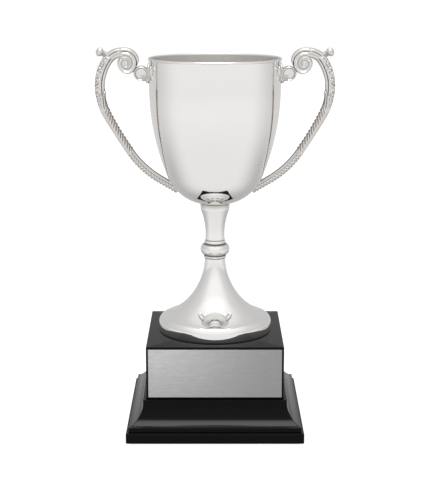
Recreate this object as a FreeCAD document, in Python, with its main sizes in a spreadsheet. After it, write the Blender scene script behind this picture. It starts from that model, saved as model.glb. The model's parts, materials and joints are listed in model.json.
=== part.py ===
"""Two-handled presentation cup on a square lacquered plinth, as a FreeCAD macro.

The cup is a spun bowl, a turned stem, a knop, two small collars and a spun foot, strung on one
threaded rod that also clamps them to the plinth. Two cast handles are screwed to the bowl from
inside. The plinth is a mitred box on a slab, with a cove moulding mitred round its foot.

Millimetres. The origin is at the middle of the underside, +Z is up, the name plate faces -Y and
the handles stand out along X.
"""

import FreeCAD, Part
import math
import os
import re

import Sketcher

DIMENSIONS = {
    # plinth
    "slab_thickness": 8.0,
    "slab_reach": 2.0,
    "baize_thickness": 1.0,
    "baize_inset": 3.0,
    "block_width": 104.0,
    "plinth_height": 72.0,
    "board_thickness": 9.0,
    "top_board_thickness": 9.0,
    "ledge_reach": 13.0,
    "ledge_thickness": 4.1,
    "ledge_step": 1.0,
    "moulding_height": 22.3,
    "moulding_lip_reach": 2.4,
    "moulding_lip_height": 0.8,
    "cove_radius": 18.0,
    "corner_block_width": 14.0,
    "access_hole_radius": 12.0,
    # plinth screws
    "slab_screw_radius": 1.75,
    "slab_screw_length": 26.0,
    "slab_screw_head_radius": 3.5,
    "slab_screw_head_depth": 2.0,
    "hole_clearance": 0.15,
    # name plate
    "plate_thickness": 0.8,
    "plate_side_margin": 1.7,
    "plate_top_margin": 1.6,
    "plate_bottom_margin": 1.7,
    "tape_thickness": 0.2,
    "tape_inset": 1.5,
    # clamping rod, nuts and washers
    "rod_radius": 3.0,
    "rod_clearance": 0.15,
    "rod_tail": 3.0,
    "nut_across_flats": 10.0,
    "nut_height": 5.0,
    "cap_nut_shoulder": 0.5,
    "cap_nut_depth": 6.5,
    "bowl_washer_radius": 8.0,
    "bowl_washer_thickness": 1.0,
    "base_washer_radius": 12.0,
    "base_washer_thickness": 1.5,
    # foot
    "foot_pad_thickness": 0.5,
    "foot_pad_width": 14.0,
    "foot_height": 56.9,
    "foot_neck_radius": 7.94,
    "foot_neck_sweep": 52.0,
    "foot_rim_radius": 44.0,
    "foot_rim_height": 6.1,
    "foot_base_taper": 0.2,
    "foot_corner_inset": 3.4,
    "foot_corner_rise": 5.0,
    "foot_corner_sweep": 5.5,
    "foot_flare_run": 18.6,
    "foot_flare_rise": 12.0,
    "foot_flare_sweep": 46.3,
    "foot_wall": 1.2,
    "foot_bush_length": 14.0,
    # collars, knop and stem
    "foot_collar_radius": 8.9,
    "foot_collar_height": 2.7,
    "foot_collar_edge_radius": 8.1,
    "foot_collar_sweep": 2.6,
    "knop_edge_radius": 9.0,
    "knop_height": 8.6,
    "knop_sweep": 5.05,
    "stem_collar_edge_radius": 7.6,
    "stem_collar_height": 2.9,
    "stem_collar_sweep": 1.8,
    "stem_height": 29.1,
    "stem_base_radius": 7.6,
    "stem_waist_radius": 7.42,
    "stem_waist_height": 5.0,
    "stem_base_sweep": 70.0,
    "stem_shoulder_radius": 11.3,
    "stem_flange_height": 4.6,
    "stem_sweep": 50.9,
    # bowl
    "rim_radius": 50.0,
    "bowl_wall": 1.2,
    "straight_wall_height": 22.1,
    "wall_sweep": 178.5,
    "wall_turn": 22.7,
    "floor_sweep": 34.0,
    "rim_bead_height": 1.8,
    "rim_bead_sweep": 1.0,
    # handles, in the plane of the trophy's face
    "boss_reach": 5.8,
    "boss_drop": 11.9,
    "boss_radius": 5.8,
    "boss_thickness": 8.0,
    "volute_radius": 9.0,
    "volute_bite": 1.1,
    "volute_angle": 41.7,
    "bow_run": 21.2,
    "bow_fall": 19.2,
    "side_run": 5.7,
    "side_fall": 22.3,
    "knee_run": 23.3,
    "knee_rise": 21.5,
    "toe_run": 10.1,
    "toe_rise": 6.0,
    "toe_angle": 39.0,
    "shoulder_run": 6.0,
    "shoulder_rise": 19.8,
    "crest_run": 3.0,
    "crest_rise": 6.4,
    "band_width": 7.4,
    "handle_thickness": 7.0,
    "handle_edge_round": 2.0,
    "wall_foot_height": 7.0,
    "curl_neck_radius": 3.0,
    "curl_neck_run": 2.1,
    "curl_neck_rise": 4.0,
    "curl_radius": 3.7,
    "curl_run": 4.1,
    "curl_rise": 2.8,
    "curl_thickness": 6.0,
    # handle screws
    "upper_screw_drop": 16.2,
    "lower_screw_angle": 30.0,
    "screw_radius": 1.5,
    "screw_grip": 5.0,
    "screw_head_radius": 2.8,
    "screw_head_height": 1.8,
    "screw_washer_radius": 3.2,
    "screw_washer_thickness": 0.5,
}

COLUMN_NAME = "A"
COLUMN_VALUE = "B"
CUTTER_MARGIN = 2.0
SIDES = (("right", 0.0), ("back", 90.0), ("left", 180.0), ("front", 270.0))

doc = FreeCAD.newDocument("presentation_cup")
sheet = doc.addObject("Spreadsheet::Sheet", "dims")
for row, (alias, size) in enumerate(DIMENSIONS.items(), start=1):
    sheet.set(f"{COLUMN_NAME}{row}", alias.replace("_", " "))
    sheet.set(f"{COLUMN_VALUE}{row}", str(size))
    sheet.setAlias(f"{COLUMN_VALUE}{row}", alias)
doc.recompute()


def number(expression):
    """The present value of an expression in the sheet's aliases."""
    return float(sheet.evalExpression(expression))


def bound(expression):
    """The same expression, written for an object outside the sheet."""
    def prefixed(match):
        word = match.group(0)
        return f"dims.{word}" if word in DIMENSIONS else word

    return re.sub(r"[a-z][a-z_]+", prefixed, expression)


# Heights of the joints up the trophy, each measured from the floor.
SLAB_TOP = "(baize_thickness + slab_thickness)"
TOP_BOARD_UNDERSIDE = "(plinth_height - top_board_thickness)"
FOOT_BASE = "(plinth_height + foot_pad_thickness)"
FOOT_COLLAR_BASE = f"({FOOT_BASE} + foot_height)"
KNOP_BASE = f"({FOOT_COLLAR_BASE} + foot_collar_height)"
STEM_COLLAR_BASE = f"({KNOP_BASE} + knop_height)"
STEM_BASE = f"({STEM_COLLAR_BASE} + stem_collar_height)"
BOWL_BASE = f"({STEM_BASE} + stem_height)"
ROD_BORE = "(rod_radius + rod_clearance)"

# The bowl's outline above its seat: a straight wall, a long arc and a tighter one under it.
# WALL_ARC and FLOOR_ARC are the two arcs' centres, in radius and height.
FLOOR_ARC_R = "(rim_radius - wall_sweep + (wall_sweep - floor_sweep) * cos(wall_turn * 1 deg))"
FLOOR_ARC_Z = f"sqrt(floor_sweep^2 - (stem_shoulder_radius - {FLOOR_ARC_R})^2)"
WALL_ARC_R = "(rim_radius - wall_sweep)"
WALL_ARC_Z = f"({FLOOR_ARC_Z} + (wall_sweep - floor_sweep) * sin(wall_turn * 1 deg))"
BOWL_HEIGHT = f"({WALL_ARC_Z} + straight_wall_height)"
INNER_FLOOR_R = (
    f"({FLOOR_ARC_R} + sqrt((floor_sweep - bowl_wall)^2 - ({FLOOR_ARC_Z} - bowl_wall)^2))"
)
TURN_R = "cos(wall_turn * 1 deg)"
TURN_Z = "sin(wall_turn * 1 deg)"

LEFT_TURN = 1
RIGHT_TURN = -1
START = 1
END = 2
CENTRE = 3
ORIGIN = (-1, 1)
VERTICAL_AXIS = -2
HORIZONTAL_AXIS = -1


def arc_between(start, end, radius, turn):
    """A circle's arc from start to end that turns left or right, as Sketcher stores it."""
    half = (end - start) / 2
    rise = math.sqrt(max(radius**2 - half.Length**2, 0.0))
    across = FreeCAD.Vector(-half.y, half.x, 0).normalize() * rise * turn
    centre = start + half + across
    first, last = (start, end) if turn == LEFT_TURN else (end, start)
    angles = [math.atan2(p.y - centre.y, p.x - centre.x) for p in (first, last)]
    circle = Part.Circle(centre, FreeCAD.Vector(0, 0, 1), radius)
    return Part.ArcOfCircle(circle, angles[0], angles[1])


def pin(sketch, geometry, point, x, y):
    """Hold one point of the sketch at the expressions x and y."""
    for kind, axis, expression in (("X", VERTICAL_AXIS, x), ("Y", HORIZONTAL_AXIS, y)):
        value = number(expression)
        if expression == "0":
            sketch.addConstraint(Sketcher.Constraint("PointOnObject", geometry, point, axis))
            continue
        ends = (*ORIGIN, geometry, point) if value >= 0 else (geometry, point, *ORIGIN)
        signed = expression if value >= 0 else f"-({expression})"
        index = sketch.addConstraint(Sketcher.Constraint(f"Distance{kind}", *ends, abs(value)))
        name = f"{kind.lower()}_{geometry}_{point}"
        sketch.renameConstraint(index, name)
        sketch.setExpression(f"Constraints.{name}", bound(signed))


def new_sketch(body, name, plane, offset=None, angle=None, lift=None):
    """A sketch on one of the body's origin planes, shifted in it, turned in it or lifted off it."""
    sketch = body.newObject("Sketcher::SketchObject", name)
    face = next(item for item in body.Origin.OriginFeatures if item.Role == plane)
    sketch.AttachmentSupport = [(face, "")]
    sketch.MapMode = "FlatFace"
    if offset:
        sketch.setExpression("AttachmentOffset.Base.x", bound(offset[0]))
        sketch.setExpression("AttachmentOffset.Base.y", bound(offset[1]))
    if lift:
        sketch.setExpression("AttachmentOffset.Base.z", bound(lift))
    if angle:
        turned = FreeCAD.Rotation(FreeCAD.Vector(0, 0, 1), number(angle))
        sketch.AttachmentOffset = FreeCAD.Placement(FreeCAD.Vector(), turned)
        sketch.setExpression("AttachmentOffset.Rotation.Angle", bound(f"{angle} * 1 deg"))
    return sketch


def draw_outline(sketch, path):
    """Add a closed outline. Each step is (x, y), reached by a line, or (x, y, radius, turn),
    reached by an arc; the first step is the starting corner, and the last edge closes on it."""
    corners = [FreeCAD.Vector(number(step[0]), number(step[1]), 0) for step in path]
    edges = []
    count = len(path)
    for index in range(count):
        following = (index + 1) % count
        start, end = corners[index], corners[following]
        step = path[following]
        if len(step) == 2:
            geometry = sketch.addGeometry(Part.LineSegment(start, end))
            edges.append((geometry, START, END))
            continue
        radius, turn = step[2], step[3]
        geometry = sketch.addGeometry(arc_between(start, end, number(radius), turn))
        ends = (START, END) if turn == LEFT_TURN else (END, START)
        edges.append((geometry, *ends))
        constraint = sketch.addConstraint(Sketcher.Constraint("Radius", geometry, number(radius)))
        sketch.renameConstraint(constraint, f"radius_{geometry}")
        sketch.setExpression(f"Constraints.radius_{geometry}", bound(radius))
    for index in range(count):
        geometry, begin, finish = edges[index]
        following = edges[(index + 1) % count]
        joint = Sketcher.Constraint("Coincident", geometry, finish, following[0], following[1])
        sketch.addConstraint(joint)
        pin(sketch, geometry, begin, path[index][0], path[index][1])


def draw_circle(sketch, x, y, radius):
    """Add a circle at the expressions x and y."""
    centre = FreeCAD.Vector(number(x), number(y), 0)
    circle = Part.Circle(centre, FreeCAD.Vector(0, 0, 1), number(radius))
    geometry = sketch.addGeometry(circle)
    constraint = sketch.addConstraint(Sketcher.Constraint("Radius", geometry, number(radius)))
    sketch.renameConstraint(constraint, f"radius_{geometry}")
    sketch.setExpression(f"Constraints.radius_{geometry}", bound(radius))
    pin(sketch, geometry, CENTRE, x, y)


def rectangle(left, low, right, high):
    """The outline of a rectangle, anticlockwise."""
    return [(left, low), (right, low), (right, high), (left, high)]


def new_body(label, lift="0", turn=0.0):
    """An empty body for one piece, lifted up the trophy's axis and turned about it."""
    body = doc.addObject("PartDesign::Body", label)
    body.Label = label
    turned = FreeCAD.Rotation(FreeCAD.Vector(0, 0, 1), turn)
    body.Placement = FreeCAD.Placement(FreeCAD.Vector(), turned)
    if lift != "0":
        body.setExpression("Placement.Base.z", bound(lift))
    return body


def revolve(body, sketch, name, axis="V_Axis", remove=False):
    """Turn a sketch right round one of its own axes, adding to the body or cutting from it."""
    kind = "PartDesign::Groove" if remove else "PartDesign::Revolution"
    feature = body.newObject(kind, name)
    feature.Profile = sketch
    feature.ReferenceAxis = (sketch, [axis])
    feature.Angle = 360.0
    return feature


def pad(body, sketch, name, length, remove=False, both_ways=False, flip=False):
    """Pad or pocket a sketch by an expression."""
    feature = body.newObject("PartDesign::Pocket" if remove else "PartDesign::Pad", name)
    feature.Profile = sketch
    feature.setExpression("Length", bound(length))
    feature.SideType = "Symmetric" if both_ways else "One side"
    feature.Reversed = flip
    return feature


def turned_piece(label, lift, path):
    """A piece turned about the trophy's axis from one closed half outline."""
    body = new_body(label, lift)
    sketch = new_sketch(body, f"{label}_outline", "XZ_Plane")
    draw_outline(sketch, path)
    revolve(body, sketch, f"{label}_turning")
    return body


def ring_piece(label, lift, inner, outer, thickness):
    """A flat washer or pad round the trophy's axis."""
    return turned_piece(label, lift, rectangle(inner, "0", outer, thickness))


def pattern_about_axis(body, features, name, occurrences):
    """Repeat features evenly round the body's Z axis, and make the pattern the body's result."""
    pattern = body.newObject("PartDesign::PolarPattern", name)
    pattern.Originals = features
    axis = next(item for item in body.Origin.OriginFeatures if item.Role == "Z_Axis")
    pattern.Axis = (axis, [""])
    pattern.Angle = 360.0
    pattern.Occurrences = occurrences
    body.Tip = pattern
    return pattern


def cut_mitres(body, label, inner, outer, height):
    """Cut both ends of a length on the +X side back to the corner diagonals."""
    low, high = f"({inner} - {CUTTER_MARGIN})", f"({outer} + {CUTTER_MARGIN})"
    sketch = new_sketch(body, f"{label}_mitres", "XY_Plane")
    draw_outline(sketch, [(low, low), (high, high), (low, high)])
    draw_outline(sketch, [(low, f"-{low}"), (low, f"-{high}"), (high, f"-{high}")])
    pad(body, sketch, f"{label}_mitre_cuts", height, remove=True, flip=True)


def mitred_length(label, turn, path, inner, outer, height):
    """A length of board or moulding on one side of the plinth, mitred at both ends."""
    body = new_body(label, SLAB_TOP, turn)
    sketch = new_sketch(body, f"{label}_section", "XZ_Plane")
    draw_outline(sketch, path)
    pad(body, sketch, f"{label}_length", f"2 * {outer}", both_ways=True)
    cut_mitres(body, label, inner, outer, height)
    return body


def square_board(label, lift, half, thickness):
    """A square board about the trophy's axis, given half its width."""
    body = new_body(label, lift)
    sketch = new_sketch(body, f"{label}_outline", "XY_Plane")
    draw_outline(sketch, rectangle(f"-{half}", f"-{half}", half, half))
    pad(body, sketch, f"{label}_thickness", thickness)
    return body


def bore(body, label, radius, depth):
    """A plain hole up the body's Z axis from its underside."""
    sketch = new_sketch(body, f"{label}_bore", "XY_Plane")
    draw_circle(sketch, "0", "0", radius)
    pad(body, sketch, f"{label}_bore_cut", depth, remove=True, flip=True)


# The corner blocks and their screws lie on the plinth's diagonals.
BOX_OUTER = "(block_width / 2)"
BOX_INNER = f"({BOX_OUTER} - board_thickness)"
LEDGE_OUTER = f"({BOX_OUTER} + ledge_reach)"
SLAB_OUTER = f"({LEDGE_OUTER} + slab_reach)"
BLOCK_HEIGHT = f"({TOP_BOARD_UNDERSIDE} - {SLAB_TOP})"
BLOCK_CENTRE = f"({BOX_INNER} - corner_block_width / 2)"
SCREW_DIAGONAL = f"({BLOCK_CENTRE} * sqrt(2))"
SCREW_SEAT = "baize_thickness"


def slab_screw_outline(clearance, length):
    """Half outline of a countersunk screw, head down, with the clearance round its shank only."""
    shank = f"(slab_screw_radius + {clearance})"
    cone = f"(slab_screw_head_radius - {shank}) / (slab_screw_head_radius - slab_screw_radius)"
    cone_end = f"(slab_screw_head_depth * {cone})"
    return [("0", "0"), ("slab_screw_head_radius", "0"), (shank, cone_end), (shank, length),
            ("0", length)]


def four_on_the_diagonals(body, label, clearance, length, remove):
    """Turn a screw outline standing on one diagonal, and repeat it on the other three."""
    sketch = new_sketch(body, f"{label}_profile", "XZ_Plane", offset=(SCREW_DIAGONAL, "0"))
    draw_outline(sketch, slab_screw_outline(clearance, length))
    feature = revolve(body, sketch, f"{label}_turning", remove=remove)
    pattern_about_axis(body, [feature], f"{label}_pattern", 4)


def build_plinth():
    square_board("baize_pad", "0", f"({SLAB_OUTER} - baize_inset)", "baize_thickness")

    # The slab is drawn turned by an eighth, so that its screw holes fall on its own X axis.
    diagonal = f"({SLAB_OUTER} * sqrt(2))"
    slab = new_body("base_slab", SCREW_SEAT, 45.0)
    sketch = new_sketch(slab, "base_slab_outline", "XY_Plane")
    corners = [(diagonal, "0"), ("0", diagonal), (f"-{diagonal}", "0"), ("0", f"-{diagonal}")]
    draw_outline(sketch, corners)
    draw_circle(sketch, "0", "0", "access_hole_radius")
    pad(slab, sketch, "base_slab_thickness", "slab_thickness")
    four_on_the_diagonals(slab, "slab_holes", "hole_clearance", "slab_thickness", remove=True)

    screws = new_body("slab_screws", SCREW_SEAT, 45.0)
    screws.AllowCompound = True
    four_on_the_diagonals(screws, "slab_screws", "0", "slab_screw_length", remove=False)

    for index in range(4):
        label = f"corner_block_{index + 1}"
        block = new_body(label, SLAB_TOP, 90.0 * index)
        sketch = new_sketch(block, f"{label}_outline", "XY_Plane")
        inner = f"({BOX_INNER} - corner_block_width)"
        draw_outline(sketch, rectangle(inner, inner, BOX_INNER, BOX_INNER))
        pad(block, sketch, f"{label}_height", BLOCK_HEIGHT)
        pilot = new_sketch(block, f"{label}_pilot", "XY_Plane")
        draw_circle(pilot, BLOCK_CENTRE, BLOCK_CENTRE, "slab_screw_radius")
        pilot_depth = "(slab_screw_length - slab_thickness)"
        pad(block, pilot, f"{label}_pilot_hole", pilot_depth, remove=True, flip=True)

    board_height = f"(plinth_height - {SLAB_TOP})"
    board = rectangle(BOX_INNER, "0", BOX_OUTER, board_height)
    lip = f"({BOX_OUTER} + moulding_lip_reach)"
    moulding = [
        (BOX_OUTER, "0"),
        (LEDGE_OUTER, "0"),
        (LEDGE_OUTER, "ledge_thickness"),
        (f"({LEDGE_OUTER} - ledge_step)", "ledge_thickness"),
        (lip, "(moulding_height - moulding_lip_height)", "cove_radius", RIGHT_TURN),
        (lip, "moulding_height"),
        (BOX_OUTER, "moulding_height"),
    ]
    for side, turn in SIDES:
        mitred_length(f"{side}_board", turn, board, BOX_INNER, BOX_OUTER, board_height)
        mitred_length(f"{side}_moulding", turn, moulding, BOX_OUTER, LEDGE_OUTER,
                      "moulding_height")

    top = square_board("top_board", TOP_BOARD_UNDERSIDE, BOX_INNER, "top_board_thickness")
    bore(top, "top_board", ROD_BORE, "top_board_thickness")


def plate_on_front(label, back, inset, thickness):
    """A plate on the front board between the moulding and the top, all its edges brought in."""
    body = new_body(label)
    sketch = new_sketch(body, f"{label}_outline", "XZ_Plane", lift=back)
    side = f"({BOX_OUTER} - plate_side_margin - {inset})"
    low = f"({SLAB_TOP} + moulding_height + plate_bottom_margin + {inset})"
    high = f"(plinth_height - plate_top_margin - {inset})"
    draw_outline(sketch, rectangle(f"-{side}", low, side, high))
    pad(body, sketch, f"{label}_thickness", thickness)


def build_name_plate():
    plate_on_front("name_plate_tape", BOX_OUTER, "tape_inset", "tape_thickness")
    plate_on_front("name_plate", f"({BOX_OUTER} + tape_thickness)", "0", "plate_thickness")


def build_foot_and_stem():
    base = "(foot_rim_radius - foot_base_taper)"
    ring_piece("foot_pad", "plinth_height", f"({base} - foot_pad_width)", base,
               "foot_pad_thickness")

    # Outside, up from the base: a tapered edge, a round corner and two hollow sweeps to the neck.
    # Inside, the same one wall in, up to the solid bush that the rod passes through.
    corner_r = "(foot_rim_radius - foot_corner_inset)"
    corner_z = "(foot_rim_height + foot_corner_rise)"
    waist_r = f"({corner_r} - foot_flare_run)"
    waist_z = f"({corner_z} + foot_flare_rise)"
    bush_base = "(foot_height - foot_bush_length)"
    turned_piece("foot", FOOT_BASE, [
        (f"({base} - foot_wall)", "0"),
        (base, "0"),
        ("foot_rim_radius", "foot_rim_height"),
        (corner_r, corner_z, "foot_corner_sweep", LEFT_TURN),
        (waist_r, waist_z, "foot_flare_sweep", RIGHT_TURN),
        ("foot_neck_radius", "foot_height", "foot_neck_sweep", RIGHT_TURN),
        (ROD_BORE, "foot_height"),
        (ROD_BORE, bush_base),
        ("foot_neck_radius", bush_base),
        (f"({waist_r} - foot_wall)", f"({waist_z} - foot_wall)",
         "(foot_neck_sweep + foot_wall)", LEFT_TURN),
        (f"({corner_r} - foot_wall)", f"({corner_z} - foot_wall)",
         "(foot_flare_sweep + foot_wall)", LEFT_TURN),
        ("(foot_rim_radius - foot_wall)", "foot_rim_height", "foot_corner_sweep", RIGHT_TURN),
    ])

    turned_piece("foot_collar", FOOT_COLLAR_BASE, [
        (ROD_BORE, "0"),
        ("foot_collar_edge_radius", "0"),
        ("foot_collar_radius", "(foot_collar_height * 2 / 3)", "foot_collar_sweep", LEFT_TURN),
        ("foot_collar_edge_radius", "foot_collar_height", "foot_collar_sweep", LEFT_TURN),
        (ROD_BORE, "foot_collar_height"),
    ])
    turned_piece("knop", KNOP_BASE, [
        (ROD_BORE, "0"),
        ("knop_edge_radius", "0"),
        ("knop_edge_radius", "knop_height", "knop_sweep", LEFT_TURN),
        (ROD_BORE, "knop_height"),
    ])
    turned_piece("stem_collar", STEM_COLLAR_BASE, [
        (ROD_BORE, "0"),
        ("stem_collar_edge_radius", "0"),
        ("stem_collar_edge_radius", "stem_collar_height", "stem_collar_sweep", LEFT_TURN),
        (ROD_BORE, "stem_collar_height"),
    ])
    turned_piece("stem", STEM_BASE, [
        (ROD_BORE, "0"),
        ("stem_base_radius", "0"),
        ("stem_waist_radius", "stem_waist_height", "stem_base_sweep", RIGHT_TURN),
        ("stem_shoulder_radius", "(stem_height - stem_flange_height)", "stem_sweep", RIGHT_TURN),
        ("stem_shoulder_radius", "stem_height"),
        (ROD_BORE, "stem_height"),
    ])


def hexagon(across_flats):
    """The corners of a hexagon about the trophy's axis, anticlockwise."""
    long = f"({across_flats} / sqrt(3))"
    short = f"({across_flats} / sqrt(3) / 2)"
    flat = f"({across_flats} / 2)"
    return [(long, "0"), (short, flat), (f"-{short}", flat), (f"-{long}", "0"),
            (f"-{short}", f"-{flat}"), (short, f"-{flat}")]


def hexagon_nut(label, lift):
    """The six-sided part of a nut."""
    body = new_body(label, lift)
    sketch = new_sketch(body, f"{label}_outline", "XY_Plane")
    draw_outline(sketch, hexagon("nut_across_flats"))
    pad(body, sketch, f"{label}_hexagon", "nut_height")
    return body


def build_clamp():
    """The rod through the whole cup, and the nuts and washers at its two ends."""
    washer_base = f"({TOP_BOARD_UNDERSIDE} - base_washer_thickness)"
    nut_base = f"({washer_base} - nut_height)"
    rod_end = f"({nut_base} - rod_tail)"
    cap_base = f"({BOWL_BASE} + bowl_wall + bowl_washer_thickness)"
    rod_length = f"({cap_base} + cap_nut_depth - {rod_end})"
    turned_piece("tie_rod", rod_end, rectangle("0", "0", "rod_radius", rod_length))
    ring_piece("base_washer", washer_base, ROD_BORE, "base_washer_radius", "base_washer_thickness")
    ring_piece("bowl_washer", f"({BOWL_BASE} + bowl_wall)", ROD_BORE, "bowl_washer_radius",
               "bowl_washer_thickness")

    nut = hexagon_nut("base_nut", nut_base)
    bore(nut, "base_nut", "rod_radius", "nut_height")

    cap = hexagon_nut("bowl_cap_nut", cap_base)
    crown = new_sketch(cap, "bowl_cap_nut_crown", "XZ_Plane")
    dome = "(nut_across_flats / 2 - cap_nut_shoulder)"
    draw_outline(crown, [("0", "nut_height"), (dome, "nut_height"),
                         ("0", f"(nut_height + {dome})", dome, LEFT_TURN)])
    revolve(cap, crown, "bowl_cap_nut_dome")
    bore(cap, "bowl_cap_nut", "rod_radius", "cap_nut_depth")


# Each handle is held by a level screw near the rim and a slanting one through the floor arc.
# A sketch in a screw's own frame has its X axis along the screw, outwards from the bowl.
UPPER_FRAME = ("0", f"({BOWL_HEIGHT} - upper_screw_drop)")
LOWER_FRAME = (FLOOR_ARC_R, FLOOR_ARC_Z)
SCREW_FRAMES = (
    ("upper", UPPER_FRAME, None, "rim_radius"),
    ("lower", LOWER_FRAME, "-lower_screw_angle", "floor_sweep"),
)


def screw_feature(body, label, frame, angle, path, remove):
    """Turn an outline about the X axis of a screw's frame."""
    sketch = new_sketch(body, label, "XZ_Plane", offset=frame, angle=angle)
    draw_outline(sketch, path)
    return revolve(body, sketch, f"{label}_turning", axis="H_Axis", remove=remove)


def crown(outer):
    """How far a washer's flat stands off the hollow of the wall behind it."""
    inside = f"({outer} - bowl_wall)"
    return f"({inside} - sqrt({inside}^2 - screw_washer_radius^2))"


def build_bowl():
    half_bead = "(rim_bead_height / 2)"
    body = turned_piece("bowl", BOWL_BASE, [
        (ROD_BORE, "0"),
        ("stem_shoulder_radius", "0"),
        (f"({FLOOR_ARC_R} + floor_sweep * {TURN_R})", f"({FLOOR_ARC_Z} - floor_sweep * {TURN_Z})",
         "floor_sweep", LEFT_TURN),
        ("rim_radius", WALL_ARC_Z, "wall_sweep", LEFT_TURN),
        ("rim_radius", f"({BOWL_HEIGHT} - rim_bead_height)"),
        ("rim_radius", BOWL_HEIGHT, "rim_bead_sweep", LEFT_TURN),
        ("(rim_radius - bowl_wall)", f"({BOWL_HEIGHT} - {half_bead})", "bowl_wall", LEFT_TURN),
        ("(rim_radius - bowl_wall)", WALL_ARC_Z),
        (f"({WALL_ARC_R} + (wall_sweep - bowl_wall) * {TURN_R})",
         f"({WALL_ARC_Z} - (wall_sweep - bowl_wall) * {TURN_Z})",
         "(wall_sweep - bowl_wall)", RIGHT_TURN),
        (INNER_FLOOR_R, "bowl_wall", "(floor_sweep - bowl_wall)", RIGHT_TURN),
        (ROD_BORE, "bowl_wall"),
    ])
    holes = []
    for name, frame, angle, outer in SCREW_FRAMES:
        start, end = f"({outer} - 3 * bowl_wall)", f"({outer} + bowl_wall)"
        path = rectangle(start, "0", end, "(screw_radius + hole_clearance)")
        holes.append(screw_feature(body, f"{name}_screw_hole", frame, angle, path, remove=True))
    pattern_about_axis(body, holes, "screw_holes_both_sides", 2)


def build_handle_fasteners():
    """Four screws inside the bowl, and the washer under each head."""
    screws = new_body("handle_screws", BOWL_BASE)
    washers = new_body("handle_washers", BOWL_BASE)
    screw_turnings, washer_turnings = [], []
    for body in (screws, washers):
        body.AllowCompound = True
    for name, frame, angle, outer in SCREW_FRAMES:
        washer_seat = f"({outer} - bowl_wall - {crown(outer)})"
        head_seat = f"({washer_seat} - screw_washer_thickness)"
        head_top = f"({head_seat} - screw_head_height)"
        tip = f"({outer} + screw_grip)"
        screw = [(head_top, "0"), (tip, "0"), (tip, "screw_radius"), (head_seat, "screw_radius"),
                 (head_seat, "screw_head_radius"),
                 (f"({head_top} + screw_head_height / 2)", "screw_head_radius"),
                 (head_top, "(screw_head_radius / 2)")]
        washer = rectangle(head_seat, "screw_radius", washer_seat, "screw_washer_radius")
        screw_turnings.append(
            screw_feature(screws, f"{name}_screw", frame, angle, screw, remove=False))
        washer_turnings.append(
            screw_feature(washers, f"{name}_washer", frame, angle, washer, remove=False))
    pattern_about_axis(screws, screw_turnings, "screws_both_sides", 2)
    pattern_about_axis(washers, washer_turnings, "washers_both_sides", 2)


# Centres of the handle's boss and volute, then points on the band's middle line, from the bow at
# its widest. All are measured from the axis and from the bowl's seat.
BOSS = ("(rim_radius + boss_reach)", f"({BOWL_HEIGHT} - boss_drop)")
VOLUTE_STEP = "(boss_radius + volute_radius - volute_bite)"
VOLUTE = (
    f"({BOSS[0]} + {VOLUTE_STEP} * cos(volute_angle * 1 deg))",
    f"({BOSS[1]} + {VOLUTE_STEP} * sin(volute_angle * 1 deg))",
)
BOW = (f"({VOLUTE[0]} + bow_run)", f"({VOLUTE[1]} - bow_fall)")
SIDE = (f"({BOW[0]} - side_run)", f"({BOW[1]} - side_fall)")
TOE_JOINT = (
    f"({FLOOR_ARC_R} + floor_sweep * cos(toe_angle * 1 deg))",
    f"({FLOOR_ARC_Z} - floor_sweep * sin(toe_angle * 1 deg))",
)
TOE = (f"({TOE_JOINT[0]} + toe_run)", f"({TOE_JOINT[1]} + toe_rise)")
TOE_END = (f"({TOE_JOINT[0]} - toe_run / 2)", f"({TOE_JOINT[1]} - toe_rise / 2)")
KNEE = (f"({TOE[0]} + knee_run)", f"({TOE[1]} + knee_rise)")
SHOULDER = (f"({BOW[0]} - shoulder_run)", f"({BOW[1]} + shoulder_rise)")
CREST = (f"({VOLUTE[0]} + crest_run)", f"({VOLUTE[1]} + crest_rise)")
CURL_NECK = (f"({SHOULDER[0]} + curl_neck_run)", f"({SHOULDER[1]} + curl_neck_rise)")
CURL = (f"({CURL_NECK[0]} + curl_run)", f"({CURL_NECK[1]} + curl_rise)")


def draw_tangent_chain(sketch, points, heading):
    """Add arcs through the points in turn, each leaving the last the way that it arrived."""
    corners = [FreeCAD.Vector(number(x), number(y), 0) for x, y in points]
    previous = None
    for index in range(len(points) - 1):
        start, end = corners[index], corners[index + 1]
        chord = end - start
        bend = math.atan2(chord.y, chord.x) - heading
        bend = math.atan2(math.sin(bend), math.cos(bend))
        turn = LEFT_TURN if bend > 0 else RIGHT_TURN
        radius = chord.Length / 2 / abs(math.sin(bend))
        geometry = sketch.addGeometry(arc_between(start, end, radius, turn))
        begin, finish = (START, END) if turn == LEFT_TURN else (END, START)
        if previous:
            joint = Sketcher.Constraint("Tangent", *previous, geometry, begin)
            sketch.addConstraint(joint)
        else:
            pin(sketch, geometry, begin, *points[0])
            level = Sketcher.Constraint("Horizontal", geometry, begin, geometry, CENTRE)
            sketch.addConstraint(level)
        pin(sketch, geometry, finish, *points[index + 1])
        previous = (geometry, finish)
        heading += 2 * bend


def sweep_band(body, label, points, heading):
    """Carry the handle's rounded section along a chain of arcs that starts level at the bow."""
    section = new_sketch(body, f"{label}_section", "XY_Plane", offset=(BOW[0], "0"), lift=BOW[1])
    half_width, half_depth = "(band_width / 2)", "(handle_thickness / 2)"
    round_x, round_y = f"({half_width} - handle_edge_round)", f"({half_depth} - handle_edge_round)"
    draw_outline(section, [
        (round_x, f"-{half_depth}"),
        (half_width, f"-{round_y}", "handle_edge_round", LEFT_TURN),
        (half_width, round_y),
        (round_x, half_depth, "handle_edge_round", LEFT_TURN),
        (f"-{round_x}", half_depth),
        (f"-{half_width}", round_y, "handle_edge_round", LEFT_TURN),
        (f"-{half_width}", f"-{round_y}"),
        (f"-{round_x}", f"-{half_depth}", "handle_edge_round", LEFT_TURN),
    ])
    path = new_sketch(body, f"{label}_path", "XZ_Plane")
    draw_tangent_chain(path, points, heading)
    pipe = body.newObject("PartDesign::AdditivePipe", label)
    pipe.Profile = section
    pipe.Spine = (path, [])
    return pipe


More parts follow.
